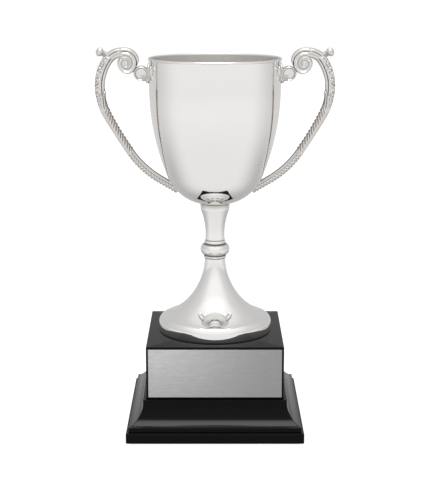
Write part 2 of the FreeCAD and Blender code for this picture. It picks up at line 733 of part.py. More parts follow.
def disc_on_handle(body, label, centre, radius, thickness):
    """A round boss standing equally on both faces of the handle."""
    sketch = new_sketch(body, f"{label}_outline", "XZ_Plane")
    draw_circle(sketch, *centre, radius)
    pad(body, sketch, label, thickness, both_ways=True)


def build_handle(label, turn):
    """One cast handle: the band, the volute at its top, the boss, the curl and the wall foot."""
    body = new_body(label, BOWL_BASE, turn)
    sweep_band(body, f"{label}_lower_band", [BOW, SIDE, KNEE, TOE, TOE_END], -math.pi / 2)
    sweep_band(body, f"{label}_upper_band", [BOW, SHOULDER, CREST], math.pi / 2)
    disc_on_handle(body, f"{label}_volute", VOLUTE, "volute_radius", "handle_thickness")
    disc_on_handle(body, f"{label}_boss", BOSS, "boss_radius", "boss_thickness")
    disc_on_handle(body, f"{label}_curl_neck", CURL_NECK, "curl_neck_radius", "curl_thickness")
    disc_on_handle(body, f"{label}_curl", CURL, "curl_radius", "curl_thickness")

    foot = new_sketch(body, f"{label}_wall_foot_outline", "XZ_Plane")
    foot_low = f"({UPPER_FRAME[1]} - wall_foot_height / 2)"
    foot_high = f"({UPPER_FRAME[1]} + wall_foot_height / 2)"
    draw_outline(foot, rectangle("(rim_radius - bowl_wall)", foot_low, BOSS[0], foot_high))
    pad(body, foot, f"{label}_wall_foot", "handle_thickness", both_ways=True)

    # The ends are cut to the bowl's own outside surface, so that they bed on it.
    seat = new_sketch(body, f"{label}_bowl_seat", "YZ_Plane")
    draw_outline(seat, [
        ("0", "0"),
        ("stem_shoulder_radius", "0"),
        (f"({FLOOR_ARC_R} + floor_sweep * {TURN_R})", f"({FLOOR_ARC_Z} - floor_sweep * {TURN_Z})",
         "floor_sweep", LEFT_TURN),
        ("rim_radius", WALL_ARC_Z, "wall_sweep", LEFT_TURN),
        ("rim_radius", BOWL_HEIGHT),
        ("0", BOWL_HEIGHT),
    ])
    revolve(body, seat, f"{label}_bowl_seat_cut", remove=True)
    for name, frame, angle, outer in SCREW_FRAMES:
        start, end = f"({outer} - bowl_wall)", f"({outer} + screw_grip)"
        path = rectangle(start, "0", end, "screw_radius")
        screw_feature(body, f"{label}_{name}_tapping", frame, angle, path, remove=True)


def check_and_export():
    """Stop if anything failed to build; otherwise write one STEP file for each piece."""
    broken = [item.Name for item in doc.Objects if {"Invalid", "Error"} & set(item.State)]
    bodies = [item for item in doc.Objects if item.TypeId == "PartDesign::Body"]
    for body in bodies:
        if body.Shape.isNull() or not body.Shape.isValid() or not body.Shape.Solids:
            broken.append(body.Label)
    if broken:
        raise RuntimeError(f"these did not build: {broken}")
    os.makedirs("parts", exist_ok=True)
    for body in bodies:
        body.Shape.exportStep(f"parts/{body.Label}.step")
        box = body.Shape.BoundBox
        print(f"{body.Label}: {len(body.Shape.Solids)} solid(s), {body.Shape.Volume:.1f} mm3, "
              f"x {box.XMin:.2f} to {box.XMax:.2f}, y {box.YMin:.2f} to {box.YMax:.2f}, "
              f"z {box.ZMin:.2f} to {box.ZMax:.2f}")


build_plinth()
build_name_plate()
build_foot_and_stem()
build_clamp()
build_bowl()
build_handle_fasteners()
build_handle("right_handle", 0.0)
build_handle("left_handle", 180.0)
doc.recompute()
check_and_export()
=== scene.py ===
# %% [markdown]
# # A two-handled presentation cup on a black lacquered plinth
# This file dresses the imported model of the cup. Each step is one piece or one finish. The notes say
# what it is on the real object, how it could be made in Blender, and why it is made the way it is.
# Lengths are worked out in millimetres, as a maker would write them, and turned into metres when a
# mesh is made. The origin is under the middle of the plinth, +Z is up and the name plate faces -Y.

import json
import math

import bmesh
import bpy
import numpy as np
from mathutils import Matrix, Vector


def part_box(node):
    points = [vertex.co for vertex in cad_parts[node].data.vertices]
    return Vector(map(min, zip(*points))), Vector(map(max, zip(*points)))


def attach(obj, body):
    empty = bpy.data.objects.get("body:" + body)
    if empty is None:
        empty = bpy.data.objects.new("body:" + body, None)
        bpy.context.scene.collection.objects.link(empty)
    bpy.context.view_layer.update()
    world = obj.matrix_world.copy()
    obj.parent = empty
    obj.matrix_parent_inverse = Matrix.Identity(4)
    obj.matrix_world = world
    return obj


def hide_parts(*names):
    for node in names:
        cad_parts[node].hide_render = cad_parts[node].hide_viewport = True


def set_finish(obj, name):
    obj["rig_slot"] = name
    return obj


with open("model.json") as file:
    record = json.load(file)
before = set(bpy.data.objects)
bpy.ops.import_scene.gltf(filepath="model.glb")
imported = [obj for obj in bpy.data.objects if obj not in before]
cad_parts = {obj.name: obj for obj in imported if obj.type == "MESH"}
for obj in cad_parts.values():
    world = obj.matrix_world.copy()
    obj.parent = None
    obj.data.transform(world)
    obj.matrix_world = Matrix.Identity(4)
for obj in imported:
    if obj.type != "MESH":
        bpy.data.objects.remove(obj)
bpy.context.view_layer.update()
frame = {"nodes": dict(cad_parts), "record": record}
MM = 0.001

# %% [markdown]
# ## Where the pieces are
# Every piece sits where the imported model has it. A node's box gives the heights of its two ends and
# how far it reaches, so the visible pieces are drawn from those and meet the way the solids do.

# %% Heights and reaches
def extent(node):
    """A node's lowest and highest corners, in millimetres."""
    low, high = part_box(node)
    return np.array(low) / MM, np.array(high) / MM


FOOT_LOW, FOOT_HIGH = extent("foot")
BOWL_LOW, BOWL_HIGH = extent("bowl")
BLOCK_LOW, BLOCK_HIGH = extent("top_board")
BOARD_LOW, BOARD_HIGH = extent("front_board")
MOULDING_LOW, MOULDING_HIGH = extent("front_moulding")
FOOT_Z, BOWL_Z = FOOT_LOW[2], BOWL_LOW[2]
print("foot from", round(FOOT_Z, 2), "bowl from", round(BOWL_Z, 2), "to", round(BOWL_HIGH[2], 2))

# %% [markdown]
# ## From an array of points to a mesh
# All the new pieces are grids: rows of points that run along one direction of a surface, columns
# that run along the other. A grid can be closed across, like the rings of a vase, and a row can
# shrink to a single point, a pole. One helper turns such a grid into a mesh for all of them.

# %% Grid to mesh
def grid_faces(rows, columns, wrap_rows=False):
    """Quads between neighbouring points of a grid whose columns close up on themselves."""
    last = rows if wrap_rows else rows - 1
    row, column = np.meshgrid(np.arange(last), np.arange(columns), indexing="ij")
    below = (row + 1) % rows
    beside = (column + 1) % columns
    corners = (row * columns + column, row * columns + beside,
               below * columns + beside, below * columns + column)
    return np.stack(corners, axis=-1).reshape(-1, 4)


def merge_shells(shells):
    """Several (points, faces) put in one list, each one's faces counted on from the last."""
    points, faces, count = [], [], 0
    for shell_points, shell_faces in shells:
        points.append(shell_points)
        faces.append(shell_faces + count)
        count += len(shell_points)
    return np.concatenate(points), np.concatenate(faces)


def signed_volume(points, quads):
    """Six times the volume inside a closed shell: the sum of each face's corner products."""
    a, b, c, d = (points[quads[:, k]] for k in range(4))
    return np.einsum("ij,ij->", a, np.cross(b, c)) + np.einsum("ij,ij->", a, np.cross(c, d))


def facing_out(points, quads):
    """The same shell with its faces turned over if it is inside out."""
    return points, (quads if signed_volume(points, quads) > 0 else quads[:, ::-1])


# %% Mesh to piece
def make_piece(name, points, quads, slot, replaced, sharp=None, values=None):
    """A mesh object at the origin from points in millimetres. Points in the same place are merged,
    which closes seams and poles. values is {attribute name: one number for each point}."""
    mesh = bpy.data.meshes.new(name)
    mesh.from_pydata((points * MM).tolist(), [], quads.tolist())
    for key, numbers in (values or {}).items():
        attribute = mesh.attributes.new(key, "FLOAT", "POINT")
        attribute.data.foreach_set("value", np.asarray(numbers, np.float32))
    piece = bpy.data.objects.new(name, mesh)
    bpy.context.scene.collection.objects.link(piece)
    merge_doubles(mesh)
    mesh.polygons.foreach_set("use_smooth", np.ones(len(mesh.polygons), bool))
    if sharp:
        mesh.set_sharp_from_angle(angle=math.radians(sharp))
    mesh.update()
    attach(piece, "root")
    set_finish(piece, slot)
    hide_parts(*replaced)
    print(f"{name}: {len(mesh.vertices)} points, {len(mesh.polygons)} faces")
    return piece


def merge_doubles(mesh, reach=1e-7):
    """Join points that lie in the same place, and drop the faces that this closes to nothing."""
    work = bmesh.new()
    work.from_mesh(mesh)
    bmesh.ops.remove_doubles(work, verts=work.verts, dist=reach)
    bmesh.ops.dissolve_degenerate(work, edges=work.edges, dist=reach)
    work.to_mesh(mesh)
    work.free()


# %% [markdown]
# ## Outlines with round corners
# A turned or moulded piece is one outline carried round. The outline is written as its corners, and
# each stretch between them is a straight line or an arc of a given sweep. Real edges are never
# perfectly sharp: polishing takes them off. So each corner is cut back a little and bridged by a
# short curve, which is also what catches the thin bright line along an edge.

# %% Arcs and softened corners
def arc_points(start, end, radius, turn, count=24):
    """Points of the arc from start to end. The centre lies beside the chord's middle, to the left
    for turn 1 and to the right for turn -1, as far off as Pythagoras gives for that radius."""
    start, end = np.array(start, float), np.array(end, float)
    half = (end - start) / 2
    length = np.hypot(*half)
    off = math.sqrt(max(radius**2 - length**2, 0.0))
    centre = start + half + turn * off * np.array([-half[1], half[0]]) / length
    first = math.atan2(*(start - centre)[::-1])
    sweep = 2 * math.asin(min(length / radius, 1.0)) * turn
    angles = first + np.linspace(0.0, sweep, count)
    return centre + radius * np.stack([np.cos(angles), np.sin(angles)], axis=1)


# %% Outline from its corners
def outline(steps, soften=0.25, closed=True):
    """Points of an outline. Each step is (x, y), reached by a line, or (x, y, radius, turn), by an
    arc. Where two stretches meet at an angle, the corner is bridged by a quadratic curve."""
    count = len(steps)
    stretches = []
    for index in range(count if closed else count - 1):
        start, step = steps[index][:2], steps[(index + 1) % count]
        if len(step) == 4:
            stretches.append(arc_points(start, step[:2], step[2], step[3]))
        else:
            stretches.append(np.array([start, step[:2]], float))
    parts = []
    number = len(stretches)
    for index in range(number):
        here, after = stretches[index], stretches[(index + 1) % number]
        last = index == number - 1
        parts.append(trim(here, soften, soften, closed or index > 0, closed or not last))
        if closed or not last:
            parts.append(bridge(here, after, soften))
    return np.concatenate(parts)


def walk(points, distance):
    """The point at a distance along a run of points, and never past its middle."""
    steps = np.hypot(*np.diff(points, axis=0).T)
    along = np.concatenate([[0.0], np.cumsum(steps)])
    place = min(distance, along[-1] * 0.45)
    return np.array([np.interp(place, along, points[:, k]) for k in range(2)]), place, along


def trim(points, front, back, cut_front, cut_back):
    """A run of points with a short length taken off either end."""
    _, first, along = walk(points, front)
    _, final, _ = walk(points[::-1], back)
    first = first if cut_front else 0.0
    final = final if cut_back else 0.0
    inside = (along > first) & (along < along[-1] - final)
    ends = [first, along[-1] - final]
    places = np.concatenate([ends[:1], along[inside], ends[1:]])
    return np.stack([np.interp(places, along, points[:, k]) for k in range(2)], axis=1)


def bridge(here, after, soften, count=4):
    """The quadratic curve across the corner between two runs, without its two ends."""
    corner = here[-1]
    start, _, _ = walk(here[::-1], soften)
    end, _, _ = walk(after, soften)
    t = np.linspace(0.0, 1.0, count + 2)[1:-1, None]
    return (1 - t) ** 2 * start + 2 * t * (1 - t) * corner + t**2 * end


LEFT, RIGHT = 1, -1

# %% [markdown]
# ## Turned pieces
# The bowl, stem, knop, collars and foot are all spun or turned in a lathe, so each is its half
# outline carried round the axis. A Screw modifier would do it too. Working the ring out with cosine
# and sine keeps one clean grid, and lets a number such as "this row is inside the bowl" travel with
# each row of points to the finish that needs it.

# %% Turning an outline
AROUND = 224


def turned(profile, around=AROUND, closed=True):
    """Rows of the outline at equal steps round the axis: x = r cos a, y = r sin a, z = height."""
    angles = np.linspace(0.0, 2 * math.pi, around, endpoint=False)
    r, z = profile[:, :1], profile[:, 1:]
    grid = np.stack([r * np.cos(angles), r * np.sin(angles), z + 0 * angles], axis=-1)
    return facing_out(grid.reshape(-1, 3), grid_faces(len(profile), around, closed))


def seam_residue_and_shade(points, seams):
    """Darkness at each point near the seams: painted shade where the parts meet, with the polish left
    there. A seam is a height and how far it spreads, and the darkness falls off from it as a smooth hump."""
    humps = [np.exp(-(((points[:, 2] - height) / spread) ** 2)) for height, spread in seams]
    return np.clip(np.sum(humps, axis=0), 0.0, 1.0) if humps else np.zeros(len(points))


# %% A turned piece of plate
def turned_piece(name, steps, soften=0.25, seams=()):
    """One lathe piece of bright plate that stands for the node of the same name."""
    points, quads = turned(outline(steps, soften))
    # The number on each point darkens the plate near the seams: painted shade where the parts meet, with
    # polish residue there.
    return make_piece(f"{name}_turned", points, quads, "silver_plate", [name], sharp=50,
                      values={"residue_and_shade": seam_residue_and_shade(points, seams)})


# %% [markdown]
# ## The stem, the knop and the two collars
# The stem is waisted: a long hollow sweep runs down from the flange under the bowl to its narrowest
# place, then opens very slightly to its base. Below it sit a thin collar, the rounded knop and a
# second collar with its widest place two thirds of the way up. They are strung on the rod, so every
# one has a bore up its middle.

# %% Stem, knop and collars
BORE = 3.15


def levels(node):
    """The heights of a node's two ends, in millimetres."""
    low, high = extent(node)
    return low[2], high[2]


STEM_LOW, STEM_HIGH = levels("stem")
KNOP_LOW, KNOP_HIGH = levels("knop")
STEM_COLLAR_LOW, STEM_COLLAR_HIGH = levels("stem_collar")
FOOT_COLLAR_LOW, FOOT_COLLAR_HIGH = levels("foot_collar")
SHOULDER_R, FLANGE_HEIGHT = 11.3, 4.6
STEM_BASE_R, STEM_WAIST_R, STEM_WAIST_HEIGHT = 7.6, 7.42, 5.0
BASE_SWEEP, WAIST_SWEEP = 70.0, 50.9
KNOP_NECK_R, KNOP_SWEEP = 9.0, 5.05
COLLAR_END_R, COLLAR_R, COLLAR_WIDEST, COLLAR_SWEEP = 8.1, 8.9, 1.8, 2.6
BEAD_SWEEP = 1.8

# The seams below darken the plate at the ends of each piece: painted shade where the pieces meet, with
# polish residue.
stem = turned_piece("stem", [
    (BORE, STEM_LOW),
    (STEM_BASE_R, STEM_LOW),
    (STEM_WAIST_R, STEM_LOW + STEM_WAIST_HEIGHT, BASE_SWEEP, RIGHT),
    (SHOULDER_R, STEM_HIGH - FLANGE_HEIGHT, WAIST_SWEEP, RIGHT),
    (SHOULDER_R, STEM_HIGH),
    (BORE, STEM_HIGH),
], soften=0.5, seams=((STEM_HIGH, 0.8), (STEM_LOW, 0.6)))
stem_collar = turned_piece("stem_collar", [
    (BORE, STEM_COLLAR_LOW),
    (STEM_BASE_R, STEM_COLLAR_LOW),
    (STEM_BASE_R, STEM_COLLAR_HIGH, BEAD_SWEEP, LEFT),
    (BORE, STEM_COLLAR_HIGH),
], soften=0.15)
knop = turned_piece("knop", [
    (BORE, KNOP_LOW),
    (KNOP_NECK_R, KNOP_LOW),
    (KNOP_NECK_R, KNOP_HIGH, KNOP_SWEEP, LEFT),
    (BORE, KNOP_HIGH),
], soften=0.2, seams=((KNOP_LOW + 0.3, 1.0), (KNOP_HIGH, 0.5)))
foot_collar = turned_piece("foot_collar", [
    (BORE, FOOT_COLLAR_LOW),
    (COLLAR_END_R, FOOT_COLLAR_LOW),
    (COLLAR_R, FOOT_COLLAR_LOW + COLLAR_WIDEST, COLLAR_SWEEP, LEFT),
    (COLLAR_END_R, FOOT_COLLAR_HIGH, COLLAR_SWEEP, LEFT),
    (BORE, FOOT_COLLAR_HIGH),
], soften=0.15, seams=((FOOT_COLLAR_HIGH, 0.7), (FOOT_COLLAR_LOW, 0.5)))

# %% [markdown]
# ## The foot
# The foot is spun from sheet: an upright skirt rolled under at its edge, a tight round shoulder, then
# two hollow sweeps that meet where the flare turns up into the neck. It is hollow underneath, with a
# solid bush in the neck for the rod, so its outline comes back down the inside.

# %% Foot
SKIRT_R, SKIRT_LEAN, SKIRT_HEIGHT, SHEET = 44.0, 0.2, 6.1, 1.2
CORNER = (SKIRT_R - 3.4, 11.1)
FLARE = (CORNER[0] - 18.6, CORNER[1] + 12.0)
CORNER_SWEEP, FLARE_SWEEP, NECK_SWEEP = 5.5, 46.3, 52.0
NECK_R, BUSH_LENGTH = 7.94, 14.0
FOOT_HEIGHT = FOOT_HIGH[2] - FOOT_Z
BUSH_Z = FOOT_HEIGHT - BUSH_LENGTH


def lifted(steps, height):
    """The same outline steps, raised."""
    return [(step[0], step[1] + height, *step[2:]) for step in steps]


foot = turned_piece("foot", lifted([
    (SKIRT_R - SKIRT_LEAN - SHEET, 0.0),
    (SKIRT_R - SKIRT_LEAN, 0.0),
    (SKIRT_R, SKIRT_HEIGHT),
    (*CORNER, CORNER_SWEEP, LEFT),
    (*FLARE, FLARE_SWEEP, RIGHT),
    (NECK_R, FOOT_HEIGHT, NECK_SWEEP, RIGHT),
    (BORE, FOOT_HEIGHT),
    (BORE, BUSH_Z),
    (NECK_R, BUSH_Z),
    (FLARE[0] - SHEET, FLARE[1] - SHEET, NECK_SWEEP + SHEET, LEFT),
    (CORNER[0] - SHEET, CORNER[1] - SHEET, FLARE_SWEEP + SHEET, LEFT),
    (SKIRT_R - SHEET, SKIRT_HEIGHT, CORNER_SWEEP, RIGHT),
], FOOT_Z), soften=0.4)

# %% [markdown]
# ## The bowl
# The bowl is a thin shell, so its outline goes up the outside, over the rolled bead at the rim and
# down the inside to the floor. Outside it is a straight wall, a very long arc and a tighter arc in
# to the seat. The rows inside carry an attribute, because spinning leaves the inside duller than
# the buffed and plated outside.

# %% Bowl
RIM_R, WALL, BOWL_AROUND = 50.0, 1.2, 288
RIM_Z = BOWL_HIGH[2]
STRAIGHT_WALL, BEAD_HEIGHT = 22.1, 1.8
WALL_SWEEP, FLOOR_SWEEP, WALL_TURN = 178.5, 34.0, math.radians(22.7)
WALL_CENTRE = np.array([RIM_R - WALL_SWEEP, RIM_Z - STRAIGHT_WALL])
TURN_WAY = np.array([math.cos(WALL_TURN), -math.sin(WALL_TURN)])
FLOOR_CENTRE = WALL_CENTRE + (WALL_SWEEP - FLOOR_SWEEP) * TURN_WAY
FLOOR_Z = BOWL_Z + WALL
FLOOR_EDGE_R = FLOOR_CENTRE[0] + math.sqrt(
    (FLOOR_SWEEP - WALL) ** 2 - (FLOOR_CENTRE[1] - FLOOR_Z) ** 2)

bowl_profile = outline([
    (BORE, BOWL_Z),
    (SHOULDER_R, BOWL_Z),
    (*(FLOOR_CENTRE + FLOOR_SWEEP * TURN_WAY), FLOOR_SWEEP, LEFT),
    (RIM_R, WALL_CENTRE[1], WALL_SWEEP, LEFT),
    (RIM_R, RIM_Z - BEAD_HEIGHT),
    (RIM_R, RIM_Z, 1.0, LEFT),
    (RIM_R - WALL, RIM_Z - BEAD_HEIGHT / 2, 1.2, LEFT),
    (RIM_R - WALL, WALL_CENTRE[1]),
    (*(WALL_CENTRE + (WALL_SWEEP - WALL) * TURN_WAY), WALL_SWEEP - WALL, RIGHT),
    (FLOOR_EDGE_R, FLOOR_Z, FLOOR_SWEEP - WALL, RIGHT),
    (BORE, FLOOR_Z),
], soften=0.12)
inside_rows = (np.arange(len(bowl_profile)) > bowl_profile[:, 1].argmax() + 3).astype(float)
bowl_points, bowl_quads = turned(bowl_profile, BOWL_AROUND)
# The bowl is darkened where it sits on the stem: painted shade at that joint, with polish residue.
bowl = make_piece("bowl_turned", bowl_points, bowl_quads, "silver_plate", ["bowl"], sharp=50,
                  values={"inside": np.repeat(inside_rows, BOWL_AROUND),
                          "residue_and_shade": seam_residue_and_shade(bowl_points, [(BOWL_Z, 0.7)]) * 0.8})
print("floor arc centre", FLOOR_CENTRE.round(2), "seat radius there", round(FLOOR_EDGE_R, 2))

# %% [markdown]
# ## Square pieces
# The plinth is joinery, but lacquer fills its joints, so it reads as one square block on a square
# moulding. Both are an outline carried round a square instead of a circle: each outline point runs
# along four straight sides joined by small quarter circles, which are the corners that sanding and
# lacquer leave.

# %% Carrying an outline round a square
def squared(profile, corner, closed=True, round_steps=6):
    """Rows of the outline round a square: each point lies on a square of its own half width whose
    corners are quarter circles of the given radius, shrunk where the square is very small."""
    half = profile[:, :1]
    bend = np.minimum(corner, half)
    quarter = np.linspace(0.0, math.pi / 2, round_steps)
    pieces = []
    for turn in range(4):
        angle = turn * math.pi / 2
        c, s = math.cos(angle), math.sin(angle)
        x = (half - bend) + bend * np.cos(quarter)
        y = (half - bend) + bend * np.sin(quarter)
        pieces.append(np.stack([c * x - s * y, s * x + c * y], axis=-1))
    ring = np.concatenate(pieces, axis=1)
    z = np.broadcast_to(profile[:, 1:, None], (*ring.shape[:2], 1))
    grid = np.concatenate([ring, z], axis=-1)
    return facing_out(grid.reshape(-1, 3), grid_faces(len(profile), ring.shape[1], closed))


# %% [markdown]
# ## The plinth box and the cove moulding
# The box is hollow and open underneath, and its outline starts and ends on the axis, under and over
# the top board. The moulding is a ledge, a long hollow cove and a thin lip against the box. Its
# points carry a number, flow, for how much extra lacquer settled there while it was wet.

# %% Plinth box and moulding
BOX_R, BOX_INNER_R = BOARD_HIGH[0], BLOCK_HIGH[0]
SLAB_TOP_Z, PLINTH_Z, TOP_UNDER_Z = BOARD_LOW[2], BLOCK_HIGH[2], BLOCK_LOW[2]
LEDGE_R, MOULDING_Z = -MOULDING_LOW[1], MOULDING_HIGH[2]
LEDGE_HEIGHT, LEDGE_STEP, COVE_SWEEP, LIP_REACH, LIP_HEIGHT = 4.1, 1.0, 18.0, 2.4, 0.8
FLOW_START, FLOW_FULL, FLOW_FADE = 4.0, 6.5, 3.0
BOARDS = ["front_board", "back_board", "left_board", "right_board", "top_board"]
MOULDINGS = ["front_moulding", "back_moulding", "left_moulding", "right_moulding"]

box_points, box_quads = squared(outline([
    (0.0, TOP_UNDER_Z),
    (BOX_INNER_R, TOP_UNDER_Z),
    (BOX_INNER_R, SLAB_TOP_Z),
    (BOX_R, SLAB_TOP_Z),
    (BOX_R, PLINTH_Z),
    (0.0, PLINTH_Z),
], soften=0.7, closed=False), corner=0.9, closed=False)
plinth_box = make_piece("plinth_box", box_points, box_quads, "black_lacquer", BOARDS, sharp=40)

cove_points, cove_quads = squared(outline([
    (BOX_R, SLAB_TOP_Z),
    (LEDGE_R, SLAB_TOP_Z),
    (LEDGE_R, SLAB_TOP_Z + LEDGE_HEIGHT),
    (LEDGE_R - LEDGE_STEP, SLAB_TOP_Z + LEDGE_HEIGHT),
    (BOX_R + LIP_REACH, MOULDING_Z - LIP_HEIGHT, COVE_SWEEP, RIGHT),
    (BOX_R + LIP_REACH, MOULDING_Z),
    (BOX_R, MOULDING_Z),
], soften=0.45), corner=0.6)
above_slab = cove_points[:, 2] - SLAB_TOP_Z
flow = 1 - np.clip((above_slab - FLOW_FULL) / FLOW_FADE, 0.0, 1.0)
moulding = make_piece("cove_moulding", cove_points, cove_quads, "black_lacquer", MOULDINGS, sharp=40,
                      values={"flow": flow * (above_slab > FLOW_START)})

# %% [markdown]
# ## The slab and the name plate
# These two are right as they were designed, holes and all, except that their edges are knife sharp.
# A copy of each has its loose triangles merged into one skin and a live Bevel modifier that rounds
# only the edges between faces at a wide angle.

# %% Copies with softened edges
def softened(node, name, slot, width, segments=3):
    """A copy of a node whose sharp edges are rounded by a Bevel modifier."""
    source = frame["nodes"][node]
    mesh = source.data.copy()
    mesh.name = name
    mesh.materials.clear()
    merge_doubles(mesh, 1e-6)
    mesh.polygons.foreach_set("use_smooth", np.ones(len(mesh.polygons), bool))
    mesh.set_sharp_from_angle(angle=math.radians(40))
    piece = bpy.data.objects.new(name, mesh)
    bpy.context.scene.collection.objects.link(piece)
    bevel = piece.modifiers.new("soft_edges", "BEVEL")
    bevel.width = width * MM
    bevel.segments = segments
    bevel.limit_method = "ANGLE"
    bevel.angle_limit = math.radians(50)
    bevel.harden_normals = True
    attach(piece, "root")
    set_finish(piece, slot)
    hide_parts(node)
    print(f"{name}: {len(mesh.polygons)} faces before its edges are rounded")
    return piece


slab = softened("base_slab", "slab_soft_edged", "black_lacquer", 0.8)
plate = softened("name_plate", "name_plate_soft_edged", "satin_aluminium", 0.2)

# %% [markdown]
# ## The handle's middle line
# Each handle is a casting: one band that leaves the bowl near its floor, bows out, and rolls over
# into a scroll at the top. Its middle line is a chain of arcs, and each arc leaves the last one in
# the direction that it arrived, so the curve has no kinks. The marks along it are steps from the
# bowl's rim and from the place where the band meets the floor arc.

# %% Middle line of the band
def unit_at(degrees):
    """A step of length 1 in the handle's plane, so many degrees up from straight outwards."""
    return np.array([math.cos(math.radians(degrees)), math.sin(math.radians(degrees))])


BAND_STEP, BOSS_R = 0.34, 5.8
BOSS = np.array([RIM_R + BOSS_R, RIM_Z - 11.9])
VOLUTE = BOSS + 13.7 * unit_at(41.7)
BOW = VOLUTE + (21.2, -19.2)
SIDE = BOW + (-5.7, -22.3)
TOE_JOINT = FLOOR_CENTRE + FLOOR_SWEEP * unit_at(-39.0)
TOE = TOE_JOINT + (10.1, 6.0)
KNEE = TOE + (23.3, 21.5)
SHOULDER = BOW + (-6.0, 19.8)
CREST = VOLUTE + (3.0, 6.4)
TOE_END = TOE_JOINT - (3.0, 1.8)


# %% Arcs through the marks
def arc_chain(marks, heading):
    """Arcs through the marks. The chord from one mark to the next turns half as far from the last
    heading as the arc does, which gives the arc's radius: chord / 2 / sine of that turn."""
    runs = []
    for start, end in zip(marks[:-1], marks[1:]):
        chord = end - start
        bend = math.atan2(chord[1], chord[0]) - heading
        bend = math.atan2(math.sin(bend), math.cos(bend))
        radius = np.hypot(*chord) / 2 / abs(math.sin(bend))
        runs.append(arc_points(start, end, radius, LEFT if bend > 0 else RIGHT, 40)[:-1])
        heading += 2 * bend
    return np.concatenate([*runs, [marks[-1]]])


def evenly(points, spacing):
    """The same line as points at even steps along it, and the distance along at each."""
    along = np.concatenate([[0.0], np.cumsum(np.hypot(*np.diff(points, axis=0).T))])
    places = np.linspace(0.0, along[-1], int(along[-1] / spacing) + 1)
    return np.stack([np.interp(places, along, points[:, k]) for k in range(2)], axis=1), places


upper = arc_chain([BOW, SHOULDER, CREST], math.pi / 2)
lower = arc_chain([BOW, SIDE, KNEE, TOE, TOE_END], -math.pi / 2)
band_line, band_s = evenly(np.concatenate([upper[::-1], lower[1:]]), BAND_STEP)
print("band", round(band_s[-1], 1), "mm long, widest at x =", round(band_line[:, 0].max(), 1))

# %% [markdown]
# ## Carrying a chased section along a line
# The band's section is a superellipse, a rectangle with very round corners. It is carried along the
# middle line, and a relief is added to both faces: u runs from -1 at the inner edge to 1 at the
# outer one, s is the distance along. The relief is real shape rather than bump, so it also notches
# the outline where the leaf and the feather run off the edge.

# %% Section along a line
SECTION_POWER, SECTION_AROUND = 2.7, 88


def carried(line, half_width, half_depth, relief=0.0, edge=0.0, around=SECTION_AROUND):
    """Rows of the section along a line in the XZ plane. A point at angle a has the section's
    coordinates sign(cos a) |cos a|^(2/p) and the same with sine, p being the power. The first is
    measured across the line, to the left of its travel, and the second is depth along Y."""
    heading = np.gradient(line, axis=0)
    heading /= np.hypot(*heading.T)[:, None]
    across = np.stack([-heading[:, 1], heading[:, 0]], axis=1)
    u, v = section_grid(around)
    width = half_width[:, None] * u + edge * np.abs(u) ** 4 * np.sign(u)
    depth = half_depth[:, None] * np.abs(v) + relief * np.clip(np.abs(v) * 1.6, 0.0, 1.0)
    x = line[:, :1] + across[:, :1] * width
    z = line[:, 1:] + across[:, 1:] * width
    return np.stack([x, np.sign(v) * depth, z], axis=-1)


def section_grid(around):
    """The section's two coordinates at equal steps of angle, each from -1 to 1."""
    angle = np.linspace(0.0, 2 * math.pi, around, endpoint=False)
    curve = [np.sign(w) * np.abs(w) ** (2 / SECTION_POWER) for w in (np.cos(angle), np.sin(angle))]
    return curve[0][None, :], curve[1][None, :]


# %% Closed ends
def capped(grid):
    """A closed shell from rows of rings: each end row is drawn in to its own middle in three steps."""
    shrink = np.array([0.0, 0.5, 0.8])[:, None, None]
    ends = [grid[k].mean(axis=0) + shrink * (grid[k] - grid[k].mean(axis=0)) for k in (0, -1)]
    rows = np.concatenate([ends[0], grid, ends[1][::-1]])
    return facing_out(rows.reshape(-1, 3), grid_faces(len(rows), grid.shape[1]))


def cap_rows(numbers):
    """One number for each point of a capped shell, from one for each point of its grid."""
    return np.concatenate([numbers[:1]] * 3 + [numbers] + [numbers[-1:]] * 3).ravel()


# %% [markdown]
# ## What is chased on the band
# From the scroll down, the band carries four patterns. The scroll has a rounded rim and a channel.
# Below it the outer two thirds are flowers on a stippled ground beside a plain, hollow strip. Then a
# long ribbed leaf comes over the inner edge, followed by a feather: about twelve slanting ribs
# that notch the inner edge. The last stretch is plain on the inside, with fine scales along its
# outer edge. Each pattern is a formula in s and u, faded in and out over a few millimetres.

# %% Relief helpers
def ramp(value, start, end):
    """0 before start, 1 after end, and a smooth S between them."""
    t = np.clip((value - start) / (end - start), 0.0, 1.0)
    return t * t * (3 - 2 * t)


def bell(value, middle, spread):
    """A smooth hump, 1 at its middle."""
    return np.exp(-(((value - middle) / spread) ** 2))


# %% Where each pattern runs
def height_at(level):
    """The distance along the band at which its middle line is that far below the rim."""
    below = np.arange(len(band_line)) > band_line[:, 1].argmax()
    return np.interp(level, (RIM_Z - band_line[:, 1])[below], band_s[below])


FLOWERS_S, LEAF_S, FEATHER_S, SCALES_S, END_S = (height_at(k) for k in (0.5, 24.0, 40.0, 72.0, 98.0))
BAND_HALF = np.interp(band_s, [0.0, height_at(0.0), height_at(24.0), height_at(38.0), height_at(56.0),
                               height_at(72.0), height_at(86.0), END_S],
                      [3.7, 3.9, 3.85, 3.5, 3.0, 3.05, 3.1, 3.0])
BAND_DEPTH = np.interp(band_s, [0.0, 6.0, FEATHER_S, SCALES_S, END_S], [2.7, 3.2, 3.1, 2.7, 2.9])
FEATHER_PITCH = (SCALES_S - FEATHER_S) / 12.0


